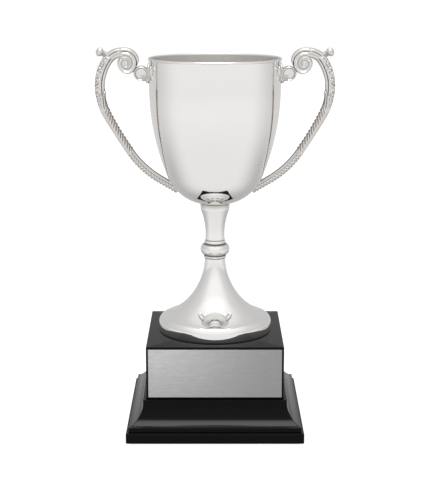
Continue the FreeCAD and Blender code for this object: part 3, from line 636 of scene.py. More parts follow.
# %% The patterns together
def chased(s, u):
    """The band's relief and how far its edge is pushed out, in millimetres."""
    scroll = 1 - ramp(s, FLOWERS_S - 3.0, FLOWERS_S + 2.0)
    flowers = ramp(s, FLOWERS_S - 3.0, FLOWERS_S + 1.0) * (1 - ramp(s, LEAF_S + 8.0, FEATHER_S + 2.0))
    feather = ramp(s, FEATHER_S - 1.0, FEATHER_S + 1.0) * (1 - ramp(s, SCALES_S - 2.0, SCALES_S + 1.0))
    scales = ramp(s, SCALES_S - 2.0, SCALES_S + 2.0)
    leaf = ramp(s - (u + 1) * 6.0, LEAF_S, LEAF_S + 2.5) * (1 - ramp(s, FEATHER_S - 3.0, FEATHER_S + 1.0))

    height = scroll * scroll_lines(u)
    height = height + flowers * (1 - leaf * ramp(-u, -0.25, 0.05)) * flower_ground(s, u)
    height = height + leaf * leaf_ribs(s, u)
    ribs, plain = feather_ribs(s, u)
    height = height + feather * (ribs + plain)
    height = height + scales * scale_rows(s, u)

    notch = np.abs(np.sin(math.pi * feather_phase(s, u)))
    inner = leaf * bell(s, LEAF_S + 2.5, 2.6) * 0.6 + feather * (notch * 0.75 - 0.3)
    outer = scales * (np.abs(np.sin(math.pi * s / 2.6)) * 0.45 - 0.2)
    return height, np.where(u < 0, inner, outer)


def scroll_lines(u):
    """A bead along the outer edge, a groove inside it, then a channel and a thin inner line."""
    return (0.55 * bell(u, 0.72, 0.2) - 0.75 * bell(u, 0.34, 0.09) + 0.4 * bell(u, 0.12, 0.12)
            - 0.3 * bell(u, -0.3, 0.25) - 0.4 * bell(u, -0.78, 0.08))


def feather_phase(s, u):
    """Counts the feather's ribs: they start at the inner edge and slant outwards as they descend."""
    return (s - (u + 1.0) * 3.9) / FEATHER_PITCH


# %% Flowers and leaf
grains = np.random.default_rng(11)
FLOWER_SPOTS = [(FLOWERS_S + 3.5 + 5.2 * k, 0.32 + 0.16 * (-1) ** k, 0.6 * k) for k in range(7)]
GRAIN_SPOTS = np.stack([grains.uniform(FLOWERS_S - 1.0, FEATHER_S - 1.0, 420),
                        grains.uniform(-0.3, 1.0, 420), grains.uniform(-0.28, 0.34, 420)], axis=1)


def flower_ground(s, u):
    """Rosettes of five petals on a ground of small punched grains, beside a hollow inner strip."""
    field = ramp(u, -0.42, -0.3)
    height = 0.3 * field - 0.55 * (1 - field) * ramp(-u, -0.1, 0.5)
    height = height - 0.75 * bell(u, -0.38, 0.07)
    for place, side, turn in FLOWER_SPOTS:
        ds, du = s - place, (u - side) * 3.8
        away, angle = np.hypot(ds, du), np.arctan2(du, ds)
        petals = 0.55 + 0.45 * np.cos(5 * angle + turn)
        height = height + 0.62 * petals * bell(away, 1.5, 0.85) + 0.4 * bell(away, 0.0, 0.5)
    for place, side, size in GRAIN_SPOTS:
        near = np.abs(s[:, 0] - place) < 1.3
        height[near] += size * bell(np.hypot(s[near] - place, (u - side) * 3.8), 0.0, 0.5)
    return height


def leaf_ribs(s, u):
    """Long ribs that drift outwards from the inner edge as they descend."""
    ribs = (u + 1.0) * 1.9 - (s - LEAF_S) * 0.075
    shape = np.abs(np.cos(math.pi * ribs)) ** 0.8 * 0.95 - 0.25
    return shape * ramp(-u, -0.3, 0.0) * ramp(ribs, -0.5, 0.0)


# %% Feather and scales
def feather_ribs(s, u):
    """The feather's rounded ribs on the inner half, and fine long lines on the outer half."""
    phase = feather_phase(s, u)
    ribs = (0.5 + 0.5 * np.cos(2 * math.pi * phase)) ** 0.6 * 1.15 - 0.55
    ribs = ribs * ramp(-u, -0.28, -0.02)
    lines = 0.13 * np.sin(u * 21.0 + s * 0.12) * ramp(u, 0.05, 0.3)
    return ribs, lines


def scale_rows(s, u):
    """A plain hollow inner strip, a fine groove, and rows of small scales on the outer part."""
    field = ramp(u, -0.32, -0.2)
    rows = np.abs(np.sin(math.pi * (s / 2.6 + 0.5 * np.floor(u * 2.5)))) * np.abs(
        np.cos(math.pi * u * 2.5)) ** 0.6
    strip = -0.6 * bell(u, -0.62, 0.28)
    return strip - 0.45 * bell(u, -0.24, 0.06) + field * (0.85 * rows - 0.35)


# %% Hollows, darkened by painted shade and polish residue
def cavity(relief, reach=4):
    """How far each point lies below the average of its neighbours: 0 for none, 1 for a deep line."""
    padded = np.pad(relief, ((reach, reach), (0, 0)), mode="edge")
    along = np.mean([padded[k:k + len(relief)] for k in range(2 * reach + 1)], axis=0)
    average = np.mean([np.roll(along, k, axis=1) for k in range(-3, 4)], axis=0)
    return np.clip((average - relief) / 0.22, 0.0, 1.0)


# %% Relief and darkness of the band
section_u = section_grid(SECTION_AROUND)[0]
band_relief, band_edge = chased(band_s[:, None], section_u)
# The band is painted darker along its inner and outer edges and in the hollows of its chasing: painted
# shade, with polish residue in the hollows. The 0.2 is the casting's duller polish.
below_leaf = ramp(band_s, LEAF_S, LEAF_S + 8.0)[:, None]
inner_side = ramp(-section_u, 0.66, 0.9) * (0.3 + 0.5 * below_leaf)
outer_side = ramp(section_u, 0.9, 1.0) * 0.3
strength = np.interp(band_s, [10.0, FLOWERS_S, FEATHER_S - 1.0, FEATHER_S + 1.0], [0.55, 1.0, 1.0, 0.7])
chasing = cavity(band_relief) * strength[:, None]
band_residue_and_shade = np.clip(0.2 + chasing * 0.85 + inner_side + outer_side, 0.0, 1.0)
print("relief from", band_relief.min().round(2), "to", band_relief.max().round(2), "mm")

# %% [markdown]
# ## The scroll
# Over the top the band parts in two. Its outer rim runs on as a thin flange that thins out beside
# the boss. The rest winds round the eye as a channel with a beaded edge, one and two thirds turns,
# getting narrower as it goes. Both are the same carried section along a spiral: the outer edge's
# radius is given at a few angles round the eye, and one full turn further on that edge is the
# inner edge of the turn before.

# %% Scroll
EYE = VOLUTE + (1.4, -1.6)
SPIRAL_TURNS = np.array([62, 80, 130, 180, 230, 256, 282, 325, 362, 381, 430, 500, 560, 640, 740])
SPIRAL_EDGE = np.array([9.6, 9.4, 8.9, 8.5, 8.6, 8.1, 7.2, 6.3, 6.3, 6.2, 5.0, 4.2, 3.4, 2.6, 1.9])
FLANGE_TURNS = np.array([56, 80, 108, 134, 162, 184, 196])
FLANGE_EDGE = np.array([12.9, 11.8, 11.6, 11.3, 10.6, 9.7, 9.0])
FLANGE_INNER = np.array([9.6, 9.2, 8.8, 8.6, 8.4, 8.2, 8.1])


def smooth_lookup(angles, at, given):
    """Values between those given, averaged over a few degrees so that no corner shows."""
    spread = np.linspace(-14.0, 14.0, 15)
    return np.mean([np.interp(angles + k, at, given) for k in spread], axis=0)


def spiral(angles, outer, inner, depth, lines, taper=None):
    """The carried section between two edges whose radii round the eye are given at each angle."""
    middle, half = (outer + inner) / 2, (outer - inner) / 2
    turns = np.radians(angles)
    line = EYE + middle[:, None] * np.stack([np.cos(turns), np.sin(turns)], axis=1)
    relief = np.broadcast_to(lines, (len(angles), lines.shape[1]))
    half = half if taper is None else half * taper
    return carried(line, -half, depth, relief)


# %% Channel and flange
channel_lines = (0.75 * bell(section_u, 0.62, 0.26) - 0.7 * bell(section_u, -0.1, 0.45)
                 - 0.5 * bell(section_u, -0.9, 0.15))
scroll_turns = np.linspace(66.0, 700.0, 300)
edge_radius = smooth_lookup(scroll_turns, SPIRAL_TURNS, SPIRAL_EDGE)
core_radius = np.where(scroll_turns < 390, smooth_lookup(scroll_turns + 360, SPIRAL_TURNS, SPIRAL_EDGE),
                       np.interp(scroll_turns, [390, 700], [1.9, 0.2]))
scroll_depth = np.interp(scroll_turns, [66, 110, 380, 700], [2.9, 3.1, 3.0, 3.2])
scroll_grid = spiral(scroll_turns, edge_radius, core_radius, scroll_depth, channel_lines)

flange_turns = np.linspace(58.0, 192.0, 90)
flange_taper = 1 - 0.75 * ramp(flange_turns, 165.0, 192.0)
flange_grid = spiral(
    flange_turns, smooth_lookup(flange_turns, FLANGE_TURNS, FLANGE_EDGE),
    smooth_lookup(flange_turns, FLANGE_TURNS, FLANGE_INNER),
    np.interp(flange_turns, [58, 80, 192], [2.8, 3.1, 2.3]), 0.35 * bell(section_u, 0.0, 0.6),
    flange_taper)
print("scroll rows", scroll_grid.shape, "flange rows", flange_grid.shape)

# %% [markdown]
# ## Boss, web, bud and wall foot
# Four smaller shapes finish the casting: the round boss between scroll and bowl, with its raised
# ring and dished middle; a web that closes the scroll behind its channel; the little bud that
# stands up from the shoulder on a beaded neck; and the foot that beds on the bowl's wall. The first
# three are turned shapes laid on their side, so the lathe helper makes them and an axis swap or a
# turn puts them in place.

# %% Small shapes of the handle
def laid_down(profile, centre):
    """A turned outline whose axis runs along Y through a point of the handle's plane."""
    points, quads = turned(profile, 96, closed=False)
    moved = np.stack([points[:, 0] + centre[0], points[:, 2], points[:, 1] + centre[1]], axis=1)
    return facing_out(moved, quads)


def both_faces(front):
    """An outline for both faces: the front's (radius, depth) points, then their mirror image."""
    front = np.array(front, float)
    return np.concatenate([front, (front * (1, -1))[::-1]])


def dished_boss(radius, depth):
    """A disc with a dished middle, a fine groove and a round raised ring at its edge."""
    r = np.linspace(0.0, 1.0, 60)
    face = depth * (0.66 + 0.1 * r**2 - 0.12 * bell(r, 0.69, 0.03) + 0.34 * bell(r, 0.85, 0.11))
    edge = np.sqrt(np.clip(1 - ((r - 0.86) / 0.14) ** 2, 0.0, 1.0))
    face = np.where(r > 0.86, depth * edge, face)
    return both_faces(np.stack([r * radius, face], axis=1))


# %% Bud
BUD_LENGTH = 8.9


def bud_profile():
    """Half outline of the bud along its own axis: neck, two beads, a hollow and the round tip."""
    z = np.linspace(0.0, 1.0, 90)
    body = 3.45 * np.sqrt(np.clip(1 - ((z - 0.69) / 0.31) ** 2, 0.0, 1.0))
    neck = 1.7 + 0.9 * bell(z, 0.16, 0.06) + 0.7 * bell(z, 0.33, 0.05)
    r = np.where(z < 0.42, neck, np.maximum(body, neck * (1 - ramp(z, 0.42, 0.5))))
    r[0] = r[-1] = 0.0
    return np.stack([r, z * BUD_LENGTH], axis=1)


def fluted_bud(root, way):
    """The bud turned about an axis in the handle's plane, with seven shallow flutes round its tip."""
    points, quads = turned(bud_profile(), 84, closed=False)
    angle = np.arctan2(points[:, 1], points[:, 0])
    flute = 1 - 0.07 * ramp(points[:, 2], 4.2, 6.0) * (0.5 + 0.5 * np.cos(7 * angle))
    side, depth, out = points[:, 0] * flute, points[:, 1] * flute * 0.86, points[:, 2]
    way = np.array(way) / np.hypot(*way)
    x = root[0] + way[0] * out - way[1] * side
    z = root[1] + way[1] * out + way[0] * side
    return facing_out(np.stack([x, depth, z], axis=1), quads)


# %% Bedding on the bowl
def bedded(points, sink=0.35):
    """Points that would lie deeper than sink in the bowl's wall are moved out to that depth: beside
    the straight wall straight out, and under it away from the centre of the arc they are beside."""
    points = points.copy()
    r = np.hypot(points[:, 0], points[:, 1])
    outward = points[:, :2] / np.maximum(r, 1e-6)[:, None]
    flat = np.stack([r, points[:, 2]], axis=1)
    for centre, sweep, beside in (
            (FLOOR_CENTRE, FLOOR_SWEEP, lambda way: way < -WALL_TURN),
            (WALL_CENTRE, WALL_SWEEP, lambda way: (way >= -WALL_TURN) & (way < 0))):
        gap = flat - centre
        way = np.arctan2(gap[:, 1], gap[:, 0])
        away = np.hypot(*gap.T)
        push = beside(way) & (away < sweep - sink)
        flat[push] = centre + gap[push] / away[push, None] * (sweep - sink)
    straight = (flat[:, 1] >= WALL_CENTRE[1]) & (flat[:, 0] < RIM_R - sink)
    flat[straight, 0] = RIM_R - sink
    return np.column_stack([outward * flat[:, :1], flat[:, 1]])


# %% Wall foot and pad
PAD_AROUND = 48
foot_ends = np.array([[RIM_R - 0.2, RIM_Z - 15.6], [BOSS[0] - 0.5, RIM_Z - 13.5]])
foot_line = evenly(foot_ends, 0.2)[0]
foot_width = np.interp(np.arange(len(foot_line)), [0, 8, 30], [4.6, 3.2, 2.6])
wall_foot = capped(carried(foot_line, foot_width, np.full(len(foot_line), 3.1), around=PAD_AROUND))

pad_ends = np.array([[RIM_R + 0.3, RIM_Z - 4.5], [RIM_R + 0.3, RIM_Z - 19.5]])
pad_line = evenly(pad_ends, 0.25)[0]
pad_t = np.linspace(-1.0, 1.0, len(pad_line))
pad_width, pad_depth = 1.1 * (1 - pad_t**4) + 0.25, 3.4 * (1 - np.abs(pad_t) ** 3) + 0.4
wall_pad = capped(carried(pad_line, pad_width, pad_depth, around=PAD_AROUND))

# %% [markdown]
# ## One handle, and its twin
# All the shells are joined in one casting, and whatever reaches the bowl is bedded on its outside
# surface. A number on each point says how dark the finish is there. Part of it is real: a casting
# never takes as bright a polish as spun sheet, and its hollows keep the dark residue of the polish.
# The rest is painted shade: in the hollows of the chasing, along the band's edges, in the boss's
# ring, between the bud's beads, and all over the wall foot and pad, as the shadow between boss and
# bowl. The left handle is the same casting turned half a turn about the cup's axis, which keeps its
# faces the right way out, where a mirror image would turn it inside out.

# %% Handles
def ring_dark(points, centre, radius):
    """Painted shade on the boss, with polish residue in its groove: strong in the groove inside its ring,
    and weaker round its edge.
    """
    r = np.hypot(points[:, 0] - centre[0], points[:, 2] - centre[1]) / radius
    return 0.15 + 0.5 * bell(r, 0.7, 0.04) + 0.6 * bell(r, 1.0, 0.06)


# The channel's hollow and the edges of the channel and flange are painted darker: painted shade, with
# polish residue in the hollow.
channel_dark = (0.1 + 0.85 * bell(section_u, -0.42, 0.2) + 0.5 * ramp(-section_u, 0.7, 0.9)
                + 0.5 * ramp(section_u, 0.88, 0.98))
flange_dark = 0.4 * ramp(np.abs(section_u), 0.85, 1.0)
boss_points, boss_quads = laid_down(dished_boss(BOSS_R, 4.0), BOSS)
BUD_ROOT, BUD_WAY = SHOULDER + (0.2, 3.6), np.array([1.0, 0.52])
bud_points, bud_quads = fluted_bud(BUD_ROOT, BUD_WAY)
bud_out = (bud_points[:, [0, 2]] - BUD_ROOT) @ (BUD_WAY / np.hypot(*BUD_WAY))
band_points, band_quads = capped(carried(band_line, BAND_HALF, BAND_DEPTH, band_relief, band_edge))
shells = [
    (bedded(band_points), band_quads, cap_rows(band_residue_and_shade)),
    (*capped(scroll_grid), cap_rows(np.broadcast_to(channel_dark, scroll_grid.shape[:2]))),
    (*capped(flange_grid), cap_rows(np.broadcast_to(0.2 + flange_dark, flange_grid.shape[:2]))),
    (boss_points, boss_quads, ring_dark(boss_points, BOSS, BOSS_R)),
    (*laid_down(both_faces([(0, 2.9), (1.2, 2.9), (2.0, 2.2), (5.6, 2.0), (6.2, 1.6)]), EYE), None),
    # The bud is painted darker between its beads and under its round tip: painted shade.
    (bud_points, bud_quads, 0.3 + 0.5 * bell(bud_out, 3.6, 0.5) + 0.5 * bell(bud_out, 2.2, 0.35)),
    # The wall foot and pad are painted half dark all over: a painted shadow between the boss and the bowl.
    (bedded(wall_foot[0]), wall_foot[1], np.full(len(wall_foot[0]), 0.5)),
    (bedded(wall_pad[0]), wall_pad[1], np.full(len(wall_pad[0]), 0.5)),
]
handle_points, handle_quads = merge_shells([shell[:2] for shell in shells])
# Each shell's darkness goes into one list: painted shade, with polish residue and the casting's duller
# polish.
handle_residue_and_shade = np.concatenate([np.full(len(p), 0.25) if dark is None else dark for p, _, dark in shells])
right_handle = make_piece("right_handle_cast", handle_points, handle_quads, "silver_plate",
                          ["right_handle"], sharp=60, values={"residue_and_shade": handle_residue_and_shade})
left_handle = make_piece("left_handle_cast", handle_points * (-1, -1, 1), handle_quads,
                         "silver_plate", ["left_handle"], sharp=60, values={"residue_and_shade": handle_residue_and_shade})

# %% [markdown]
# ## Writing finishes as expressions
# A finish is a small graph of nodes. Wiring it by hand is slow to read, so one class wraps a socket
# and gives it the arithmetic operators, each of which adds a Math node. Another holds a material's
# graph and adds any other node from its type, its settings and what goes into its sockets.

# %% Sockets with operators
class Wire:
    """An output socket that can be added, multiplied and so on with numbers or other wires."""

    def __init__(self, graph, socket):
        self.graph, self.socket = graph, socket

    def maths(self, operation, *others):
        return self.graph.add("ShaderNodeMath", {"operation": operation}, dict(enumerate([self, *others])))

    def __add__(self, other):
        return self.maths("ADD", other)

    def __mul__(self, other):
        return self.maths("MULTIPLY", other)

    def __sub__(self, other):
        return self.maths("SUBTRACT", other)

    def __rsub__(self, other):
        return self.graph.add("ShaderNodeMath", {"operation": "SUBTRACT"}, {0: other, 1: self})

    __radd__, __rmul__ = __add__, __mul__

    def between(self, low, high):
        """0 below low, 1 above high, smooth between."""
        return self.graph.add("ShaderNodeMapRange", {"interpolation_type": "SMOOTHSTEP"},
                              {"Value": self, "From Min": low, "From Max": high})


# %% A graph of nodes
class Graph:
    """The nodes of one material or world."""

    def __init__(self, owner):
        owner.use_nodes = True
        self.tree = owner.node_tree
        self.tree.nodes.clear()

    def add(self, kind, settings, inputs, output=0):
        """A node of this kind: its settings first, then a value or a wire for each input named."""
        node = self.tree.nodes.new(kind)
        for key, value in settings.items():
            setattr(node, key, value)
        for key, value in inputs.items():
            socket = node.inputs[key]
            if isinstance(value, Wire):
                self.tree.links.new(value.socket, socket)
            else:
                socket.default_value = value
        return Wire(self, node.outputs[output]) if len(node.outputs) else node

    def place(self, scale=(1.0, 1.0, 1.0)):
        """Object coordinates, stretched."""
        spot = self.add("ShaderNodeTexCoord", {}, {}, "Object")
        return self.add("ShaderNodeMapping", {}, {"Vector": spot, "Scale": scale})

    def axis(self, vector, number):
        """One component of a vector."""
        parts = self.tree.nodes.new("ShaderNodeSeparateXYZ")
        self.tree.links.new(vector.socket, parts.inputs[0])
        return Wire(self, parts.outputs[number])

    def noise(self, scale, detail=3.0, stretch=(1.0, 1.0, 1.0), roughness=0.5):
        """Smooth noise from 0 to 1, with about scale lumps to a metre."""
        return self.add("ShaderNodeTexNoise", {}, {
            "Vector": self.place(stretch), "Scale": scale, "Detail": detail, "Roughness": roughness})

    def blend(self, amount, first, second):
        """One colour turning into another."""
        mix = self.tree.nodes.new("ShaderNodeMix")
        mix.data_type = "RGBA"
        for key, value in ((0, amount), (6, first), (7, second)):
            if isinstance(value, Wire):
                self.tree.links.new(value.socket, mix.inputs[key])
            else:
                mix.inputs[key].default_value = value
        return Wire(self, mix.outputs[2])

    def bump(self, height, strength, distance_mm):
        """A normal tilted by a height field."""
        return self.add("ShaderNodeBump", {}, {
            "Height": height, "Strength": strength, "Distance": distance_mm * MM})

    def attribute(self, name):
        """A number that the mesh carries on its points."""
        return self.add("ShaderNodeAttribute", {"attribute_name": name}, {}, "Fac")

    def finish(self, **inputs):
        """The Principled shader and the output. Underscores in names stand for spaces."""
        shader = self.add("ShaderNodeBsdfPrincipled", {}, {
            key.replace("_", " "): value for key, value in inputs.items()})
        self.add("ShaderNodeOutputMaterial", {}, {"Surface": shader})


# %% Greys and new materials
def grey(value, warmth=0.0):
    """A grey, made a little warmer or cooler."""
    return (value * (1 + warmth), value, value * (1 - warmth), 1.0)


def new_material(name):
    """An empty material and its graph."""
    material = bpy.data.materials.new(name)
    return material, Graph(material)


# %% [markdown]
# ## Bright plate
# The cup is brass or zinc under bright nickel, buffed and plated, and nearly all of what the eye
# sees is the room in it. Its own colour is a pale, slightly warm grey. Two things keep it from
# looking like computer chrome: a very shallow waviness left by buffing, and a trace of fine haze.
# Inside the bowl the plate is left as spun, so it is duller and a little darker. In the chasing of
# the handles the hollows keep the dark residue of the polish, which a buffing wheel can't reach, and
# shade is painted into the colour as well: in the hollows, where the parts meet and along the
# handles' edges.

# %% Bright plate
def bright_plate():
    material, g = new_material("bright_plate")
    inside, residue_and_shade = g.attribute("inside"), g.attribute("residue_and_shade")
    haze = g.noise(38.0, 4.0)
    streaks = g.noise(7.0, 3.0, (6.0, 6.0, 160.0))
    tarnish = g.noise(14.0, 5.0, roughness=0.6).between(0.42, 0.75)
    clean = g.blend(tarnish * 0.5, grey(0.905, 0.012), grey(0.85, 0.02))
    # The number carried on the points paints the plate a dark brown: painted shade in hollows, at joints
    # and along edges, with polish residue in the hollows.
    hollow = g.blend(residue_and_shade, clean, grey(0.30, 0.12))
    colour = g.blend(inside, hollow, grey(0.76, 0.03))
    roughness = 0.035 + haze * 0.04 + inside * (0.36 + streaks * 0.12) + residue_and_shade * 0.2
    waves = g.noise(9.0, 1.0) * 0.8 + streaks * 0.02 + haze * 0.012
    g.finish(Base_Color=colour, Metallic=1.0, Roughness=roughness,
             Normal=g.bump(waves, 0.35, 0.5))
    return material


# %% [markdown]
# ## Black lacquer
# The plinth is sprayed and polished to a mirror. Face on it is almost pure black, and at a low angle
# it turns into a grey mirror, which the shader's Fresnel gives. A fine orange peel stays in any
# sprayed coat, and a few hairlines and a breath of dust show in its sheen. Lacquer runs down and
# settles on the moulding's ledge and the foot of its cove, so there the shader's clear coat, which
# follows the number flow on the moulding's points, adds a second and softer gloss.

# %% Black lacquer
def black_lacquer():
    material, g = new_material("black_lacquer")
    dust = g.noise(900.0, 2.0).between(0.62, 0.78) * g.noise(30.0).between(0.35, 0.7)
    hairlines = g.noise(60.0, 2.0, (1.0, 22.0, 1.0)).between(0.58, 0.7)
    colour = g.blend(dust * 0.5, grey(0.0035, 0.03), grey(0.012, 0.06))
    peel = g.noise(420.0, 2.0) * 0.6 + g.noise(90.0, 2.0) * 0.4
    g.finish(Base_Color=colour, Roughness=0.05 + dust * 0.12 + hairlines * 0.05, IOR=1.17,
             Coat_Weight=g.attribute("flow") * 0.6, Coat_Roughness=0.1, Coat_IOR=1.4,
             Normal=g.bump(peel, 0.05, 0.1))
    return material


# %% [markdown]
# ## Brushed name plate
# The plate is aluminium sheet with a fine satin brushing from side to side. Each stroke is a shallow
# scratch, so the noise for them is stretched along X. It reflects a broad blurred patch of the room,
# and a painted sheen in its colour, lighter at the top left and darker to the right and the bottom,
# shades it off across its width.

# %% Satin aluminium
def satin_aluminium():
    material, g = new_material("satin_aluminium")
    strokes = g.noise(26.0, 4.0, (1.2, 40.0, 60.0), 0.7)
    flecks = g.noise(300.0, 3.0, (0.5, 1.0, 1.6))
    # The colour is painted lighter at the top left and darker towards the right and bottom: a painted
    # sheen.
    right, top = g.axis(g.place(), 0).between(-0.055, 0.05), g.axis(g.place(), 2).between(0.03, 0.072)
    painted_sheen = g.blend(right, g.blend(top, grey(0.53, -0.004), grey(0.70, -0.004)),
                    g.blend(top, grey(0.355), grey(0.37)))
    colour = g.blend((strokes * 0.6 + flecks * 0.4).between(0.35, 0.65) * 0.3, painted_sheen, grey(0.3))
    g.finish(Base_Color=colour, Metallic=1.0, Roughness=0.3 + strokes * 0.14 + flecks * 0.05,
             Normal=g.bump(strokes * 0.7 + flecks * 0.3, 0.25, 0.05))
    return material


# %% [markdown]
# ## What holds it together
# The rod, nuts, washers and screws are zinc plated steel: grey, slightly blue, with a cloudy sheen.
# The washers inside the bowl are nylon. The plinth's hidden blocks are bare softwood, the pads are
# felt and baize, and the plate is held by a translucent adhesive film. They are hardly seen, but
# each still has the grain that its material has.

# %% Hidden materials
def zinc_steel():
    material, g = new_material("zinc_steel")
    cloud, marks = g.noise(220.0, 4.0), g.noise(60.0, 2.0, (1.0, 1.0, 14.0))
    g.finish(Base_Color=g.blend(cloud, grey(0.5, -0.02), grey(0.66, -0.01)), Metallic=1.0,
             Roughness=0.24 + cloud * 0.2, Normal=g.bump(marks, 0.15, 0.05))
    return material


def nylon():
    material, g = new_material("nylon")
    cloud = g.noise(500.0, 3.0)
    g.finish(Base_Color=g.blend(cloud, grey(0.62, 0.03), grey(0.72, 0.02)),
             Roughness=0.45 + cloud * 0.15, Normal=g.bump(cloud, 0.1, 0.05))
    return material


def bare_wood():
    material, g = new_material("bare_wood")
    rings = g.add("ShaderNodeTexWave", {"bands_direction": "X"}, {
        "Vector": g.place(), "Scale": 55.0, "Distortion": 7.0, "Detail": 3.0}, "Fac")
    pores = g.noise(90.0, 4.0, (8.0, 8.0, 1.0))
    g.finish(Base_Color=g.blend(rings * 0.6 + pores * 0.4, (0.46, 0.29, 0.15, 1), (0.66, 0.47, 0.28, 1)),
             Roughness=0.62 + pores * 0.2, Normal=g.bump(rings * 0.5 + pores * 0.5, 0.3, 0.1))
    return material


def woolly(name, low, high, scale):
    """Pressed or woven wool: short fibres, matted, with no gloss."""
    material, g = new_material(name)
    fibres, mat = g.noise(scale, 6.0, roughness=0.75), g.noise(scale / 7.0, 3.0)
    g.finish(Base_Color=g.blend(fibres * 0.7 + mat * 0.3, low, high), Roughness=0.93 - fibres * 0.06,
             Normal=g.bump(fibres * 0.8 + mat * 0.2, 0.8, 0.2))
    return material


def adhesive_film():
    material, g = new_material("adhesive_film")
    cloud = g.noise(180.0, 3.0)
    g.finish(Base_Color=g.blend(cloud, grey(0.4, 0.04), grey(0.55, 0.02)), Roughness=0.3 + cloud * 0.2,
             Normal=g.bump(cloud, 0.1, 0.05))
    return material


# %% [markdown]
# ## Giving each piece its finish
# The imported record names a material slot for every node. New pieces were given a slot when they
# were made, so one table from slot to finish paints them all, and the nodes that are still shown.

# %% Finishes on pieces
FINISHES = {
    "silver_plate": bright_plate(),
    "black_lacquer": black_lacquer(),
    "satin_aluminium": satin_aluminium(),
    "steel": zinc_steel(),
    "nylon": nylon(),
    "bare_wood": bare_wood(),
    "baize": woolly("baize", (0.006, 0.022, 0.012, 1), (0.02, 0.06, 0.034, 1), 1400.0),
    "felt": woolly("felt", grey(0.012), grey(0.03), 1100.0),
    "tape": adhesive_film(),
}


def paint(piece, material):
    """Give every face of a piece one finish."""
    piece.data.materials.clear()
    piece.data.materials.append(material)
    piece.data.polygons.foreach_set("material_index", np.zeros(len(piece.data.polygons), np.int32))


slot_of_node = {entry["node"]: entry["material_slot"] for entry in frame["record"]["subparts"]}
for name, node in frame["nodes"].items():
    paint(node, FINISHES[slot_of_node[name]])
new_pieces = [stem, stem_collar, knop, foot_collar, foot, bowl, plinth_box, moulding, slab, plate,
              right_handle, left_handle]
for piece in new_pieces:
    paint(piece, FINISHES[piece["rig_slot"]])
print("painted", len(frame["nodes"]), "nodes and", len(new_pieces), "new pieces")

# %% [markdown]
# ## The studio
# Bright plate shows the room more than itself, so the room is half of this finish. Plate is shown
# best on a white sweep, with the front and the sides of the room lit evenly and the back left
# darker, which is what gives the bowl its soft grey edges. The floor and the softbox are real
# objects here, and the far walls are the world, whose brightness is written as a formula in the
# direction looked at. The camera sees a clean white sweep all round.

# %% Finish of the floor
FLOOR_HALF, FLOOR_POINTS = 3.2, 25


def white_floor():
    """A pale sweep. It answers to light like matt paper, and is shown to the camera a little
    overexposed, as a white sweep is. To everything else it also glows, brighter in front, darker
    behind and darker close to the cup: painted light and painted shade for how the sweep is lit."""
    material, g = new_material("white_sweep")
    paper = g.noise(60.0, 3.0)
    lifted_place = g.add("ShaderNodeVectorMath", {"operation": "ADD"}, {0: g.place(), 1: (0.0, 0.0, 0.2)})
    heading = g.add("ShaderNodeVectorMath", {"operation": "NORMALIZE"}, {0: lifted_place})
    back, steep = g.axis(heading, 1).between(-0.5, 0.5), g.axis(heading, 2).between(0.12, 0.5)
    matt = g.add("ShaderNodeBsdfDiffuse", {}, {
        "Color": g.blend(paper, grey(0.33), grey(0.37)), "Roughness": 0.6})
    # The glow is painted light: brighter in front, less behind the cup, and less close to it as a painted
    # shadow round the cup.
    front_glow = g.blend(steep, grey(0.60), grey(0.53))
    back_glow = g.blend(steep, grey(0.36), grey(0.16))
    glow = g.add("ShaderNodeEmission", {}, {
        "Color": g.blend(back, front_glow, back_glow), "Strength": 1.0})
    white = g.add("ShaderNodeEmission", {}, {"Color": grey(1.0), "Strength": 0.9})
    reflected = g.add("ShaderNodeAddShader", {}, {0: matt, 1: glow})
    shown = g.add("ShaderNodeAddShader", {}, {0: matt, 1: white})
    seen = g.add("ShaderNodeLightPath", {}, {}, "Is Camera Ray")
    mixed = g.add("ShaderNodeMixShader", {}, {0: seen, 1: reflected, 2: shown})
    g.add("ShaderNodeOutputMaterial", {}, {"Surface": mixed})
    return material


# %% Floor
side = np.linspace(-1.0, 1.0, FLOOR_POINTS)
across, ahead = np.meshgrid(side, side, indexing="ij")
flat = np.stack([across * FLOOR_HALF, ahead * FLOOR_HALF, 0 * across], axis=-1).reshape(-1, 3)
rows_of_cells = grid_faces(FLOOR_POINTS, FLOOR_POINTS).reshape(-1, FLOOR_POINTS, 4)
cells = rows_of_cells[:, :-1].reshape(-1, 4)
floor_mesh = bpy.data.meshes.new("sweep")
floor_mesh.from_pydata(flat.tolist(), [], cells[:, ::-1].tolist())
floor = bpy.data.objects.new("sweep", floor_mesh)
bpy.context.scene.collection.objects.link(floor)
floor_mesh.materials.append(white_floor())

# %% Walls
UP_SHARE, FRONT_SHARE = 0.766, 0.643
world = bpy.data.worlds.new("studio")
bpy.context.scene.world = world
g = Graph(world)
direction = g.add("ShaderNodeTexCoord", {}, {}, "Generated")
y, z = g.axis(direction, 1), g.axis(direction, 2)
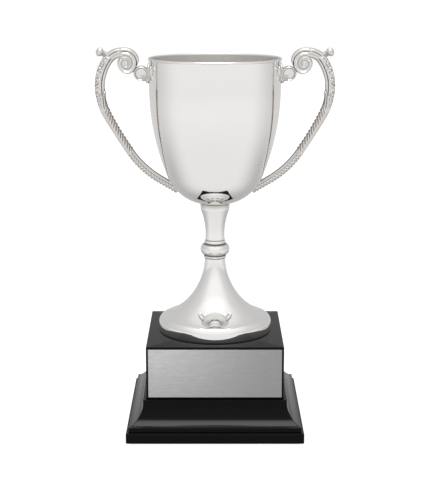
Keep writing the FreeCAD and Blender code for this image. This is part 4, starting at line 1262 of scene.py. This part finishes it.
# toward is 1 in the brightest direction, in front and 50 degrees up, and falls off all round.
toward = z * UP_SHARE - y * FRONT_SHARE
bright_front = toward.between(0.45, 0.95)
upper = 0.60 + toward.between(-0.2, 0.6) * 0.12 + bright_front * 0.28 + z.between(0.72, 0.92) * 0.15
lower = 0.57 + (0.0 - y).between(-0.55, 0.1) * 0.30
wall = lower + (upper - lower) * z.between(0.0, 0.1)
seen = g.add("ShaderNodeLightPath", {}, {}, "Is Camera Ray")
strength = wall * (1.0 - seen) + seen
background = g.add("ShaderNodeBackground", {}, {"Color": grey(1.0), "Strength": strength})
g.add("ShaderNodeOutputWorld", {}, {"Surface": background})

# %% [markdown]
# ## The light
# One large softbox hangs overhead, a little in front of the cup. It puts the bright patch on the
# foot's sweep and on the tops of the knop and handles, and gives the plinth its soft shading. The
# walls and the floor do the rest, so no hard lamp draws a spot on the plate.

# %% Softbox
def softbox(name, place, target, width, height, power):
    """A rectangular area light at a place, turned to face a target. The camera doesn't see it."""
    light = bpy.data.lights.new(name, "AREA")
    light.shape = "RECTANGLE"
    light.size, light.size_y, light.energy = width, height, power
    box = bpy.data.objects.new(name, light)
    bpy.context.scene.collection.objects.link(box)
    box.location = place
    box.rotation_euler = (Vector(target) - Vector(place)).to_track_quat("-Z", "Y").to_euler()
    box.visible_camera = False
    return box


MIDDLE = (0.0, 0.0, 0.17)
softbox("overhead_softbox", (0.0, -0.2, 1.5), MIDDLE, 0.8, 0.8, 6.0)

# %% [markdown]
# ## The camera
# The camera stands about a metre away, a little above the rim, and looks down by some twelve
# degrees, with a long lens so that the upright lines stay nearly parallel.

# %% Camera
CAMERA_PLACE = (0.0, -0.97003, 0.3517)
LOOK_DOWN = 0.216
FILM_HEIGHT, LENS = 24.0, 62.378
camera_data = bpy.data.cameras.new("camera")
camera_data.sensor_fit = "VERTICAL"
camera_data.sensor_height = FILM_HEIGHT
camera_data.lens = LENS
camera_data.clip_start = 0.01
camera = bpy.data.objects.new("camera", camera_data)
camera.location = CAMERA_PLACE
camera.rotation_euler = (math.pi / 2 - LOOK_DOWN, 0.0, 0.0)
bpy.context.scene.collection.objects.link(camera)
bpy.context.scene.camera = camera
bpy.context.scene.view_settings.view_transform = "Standard"
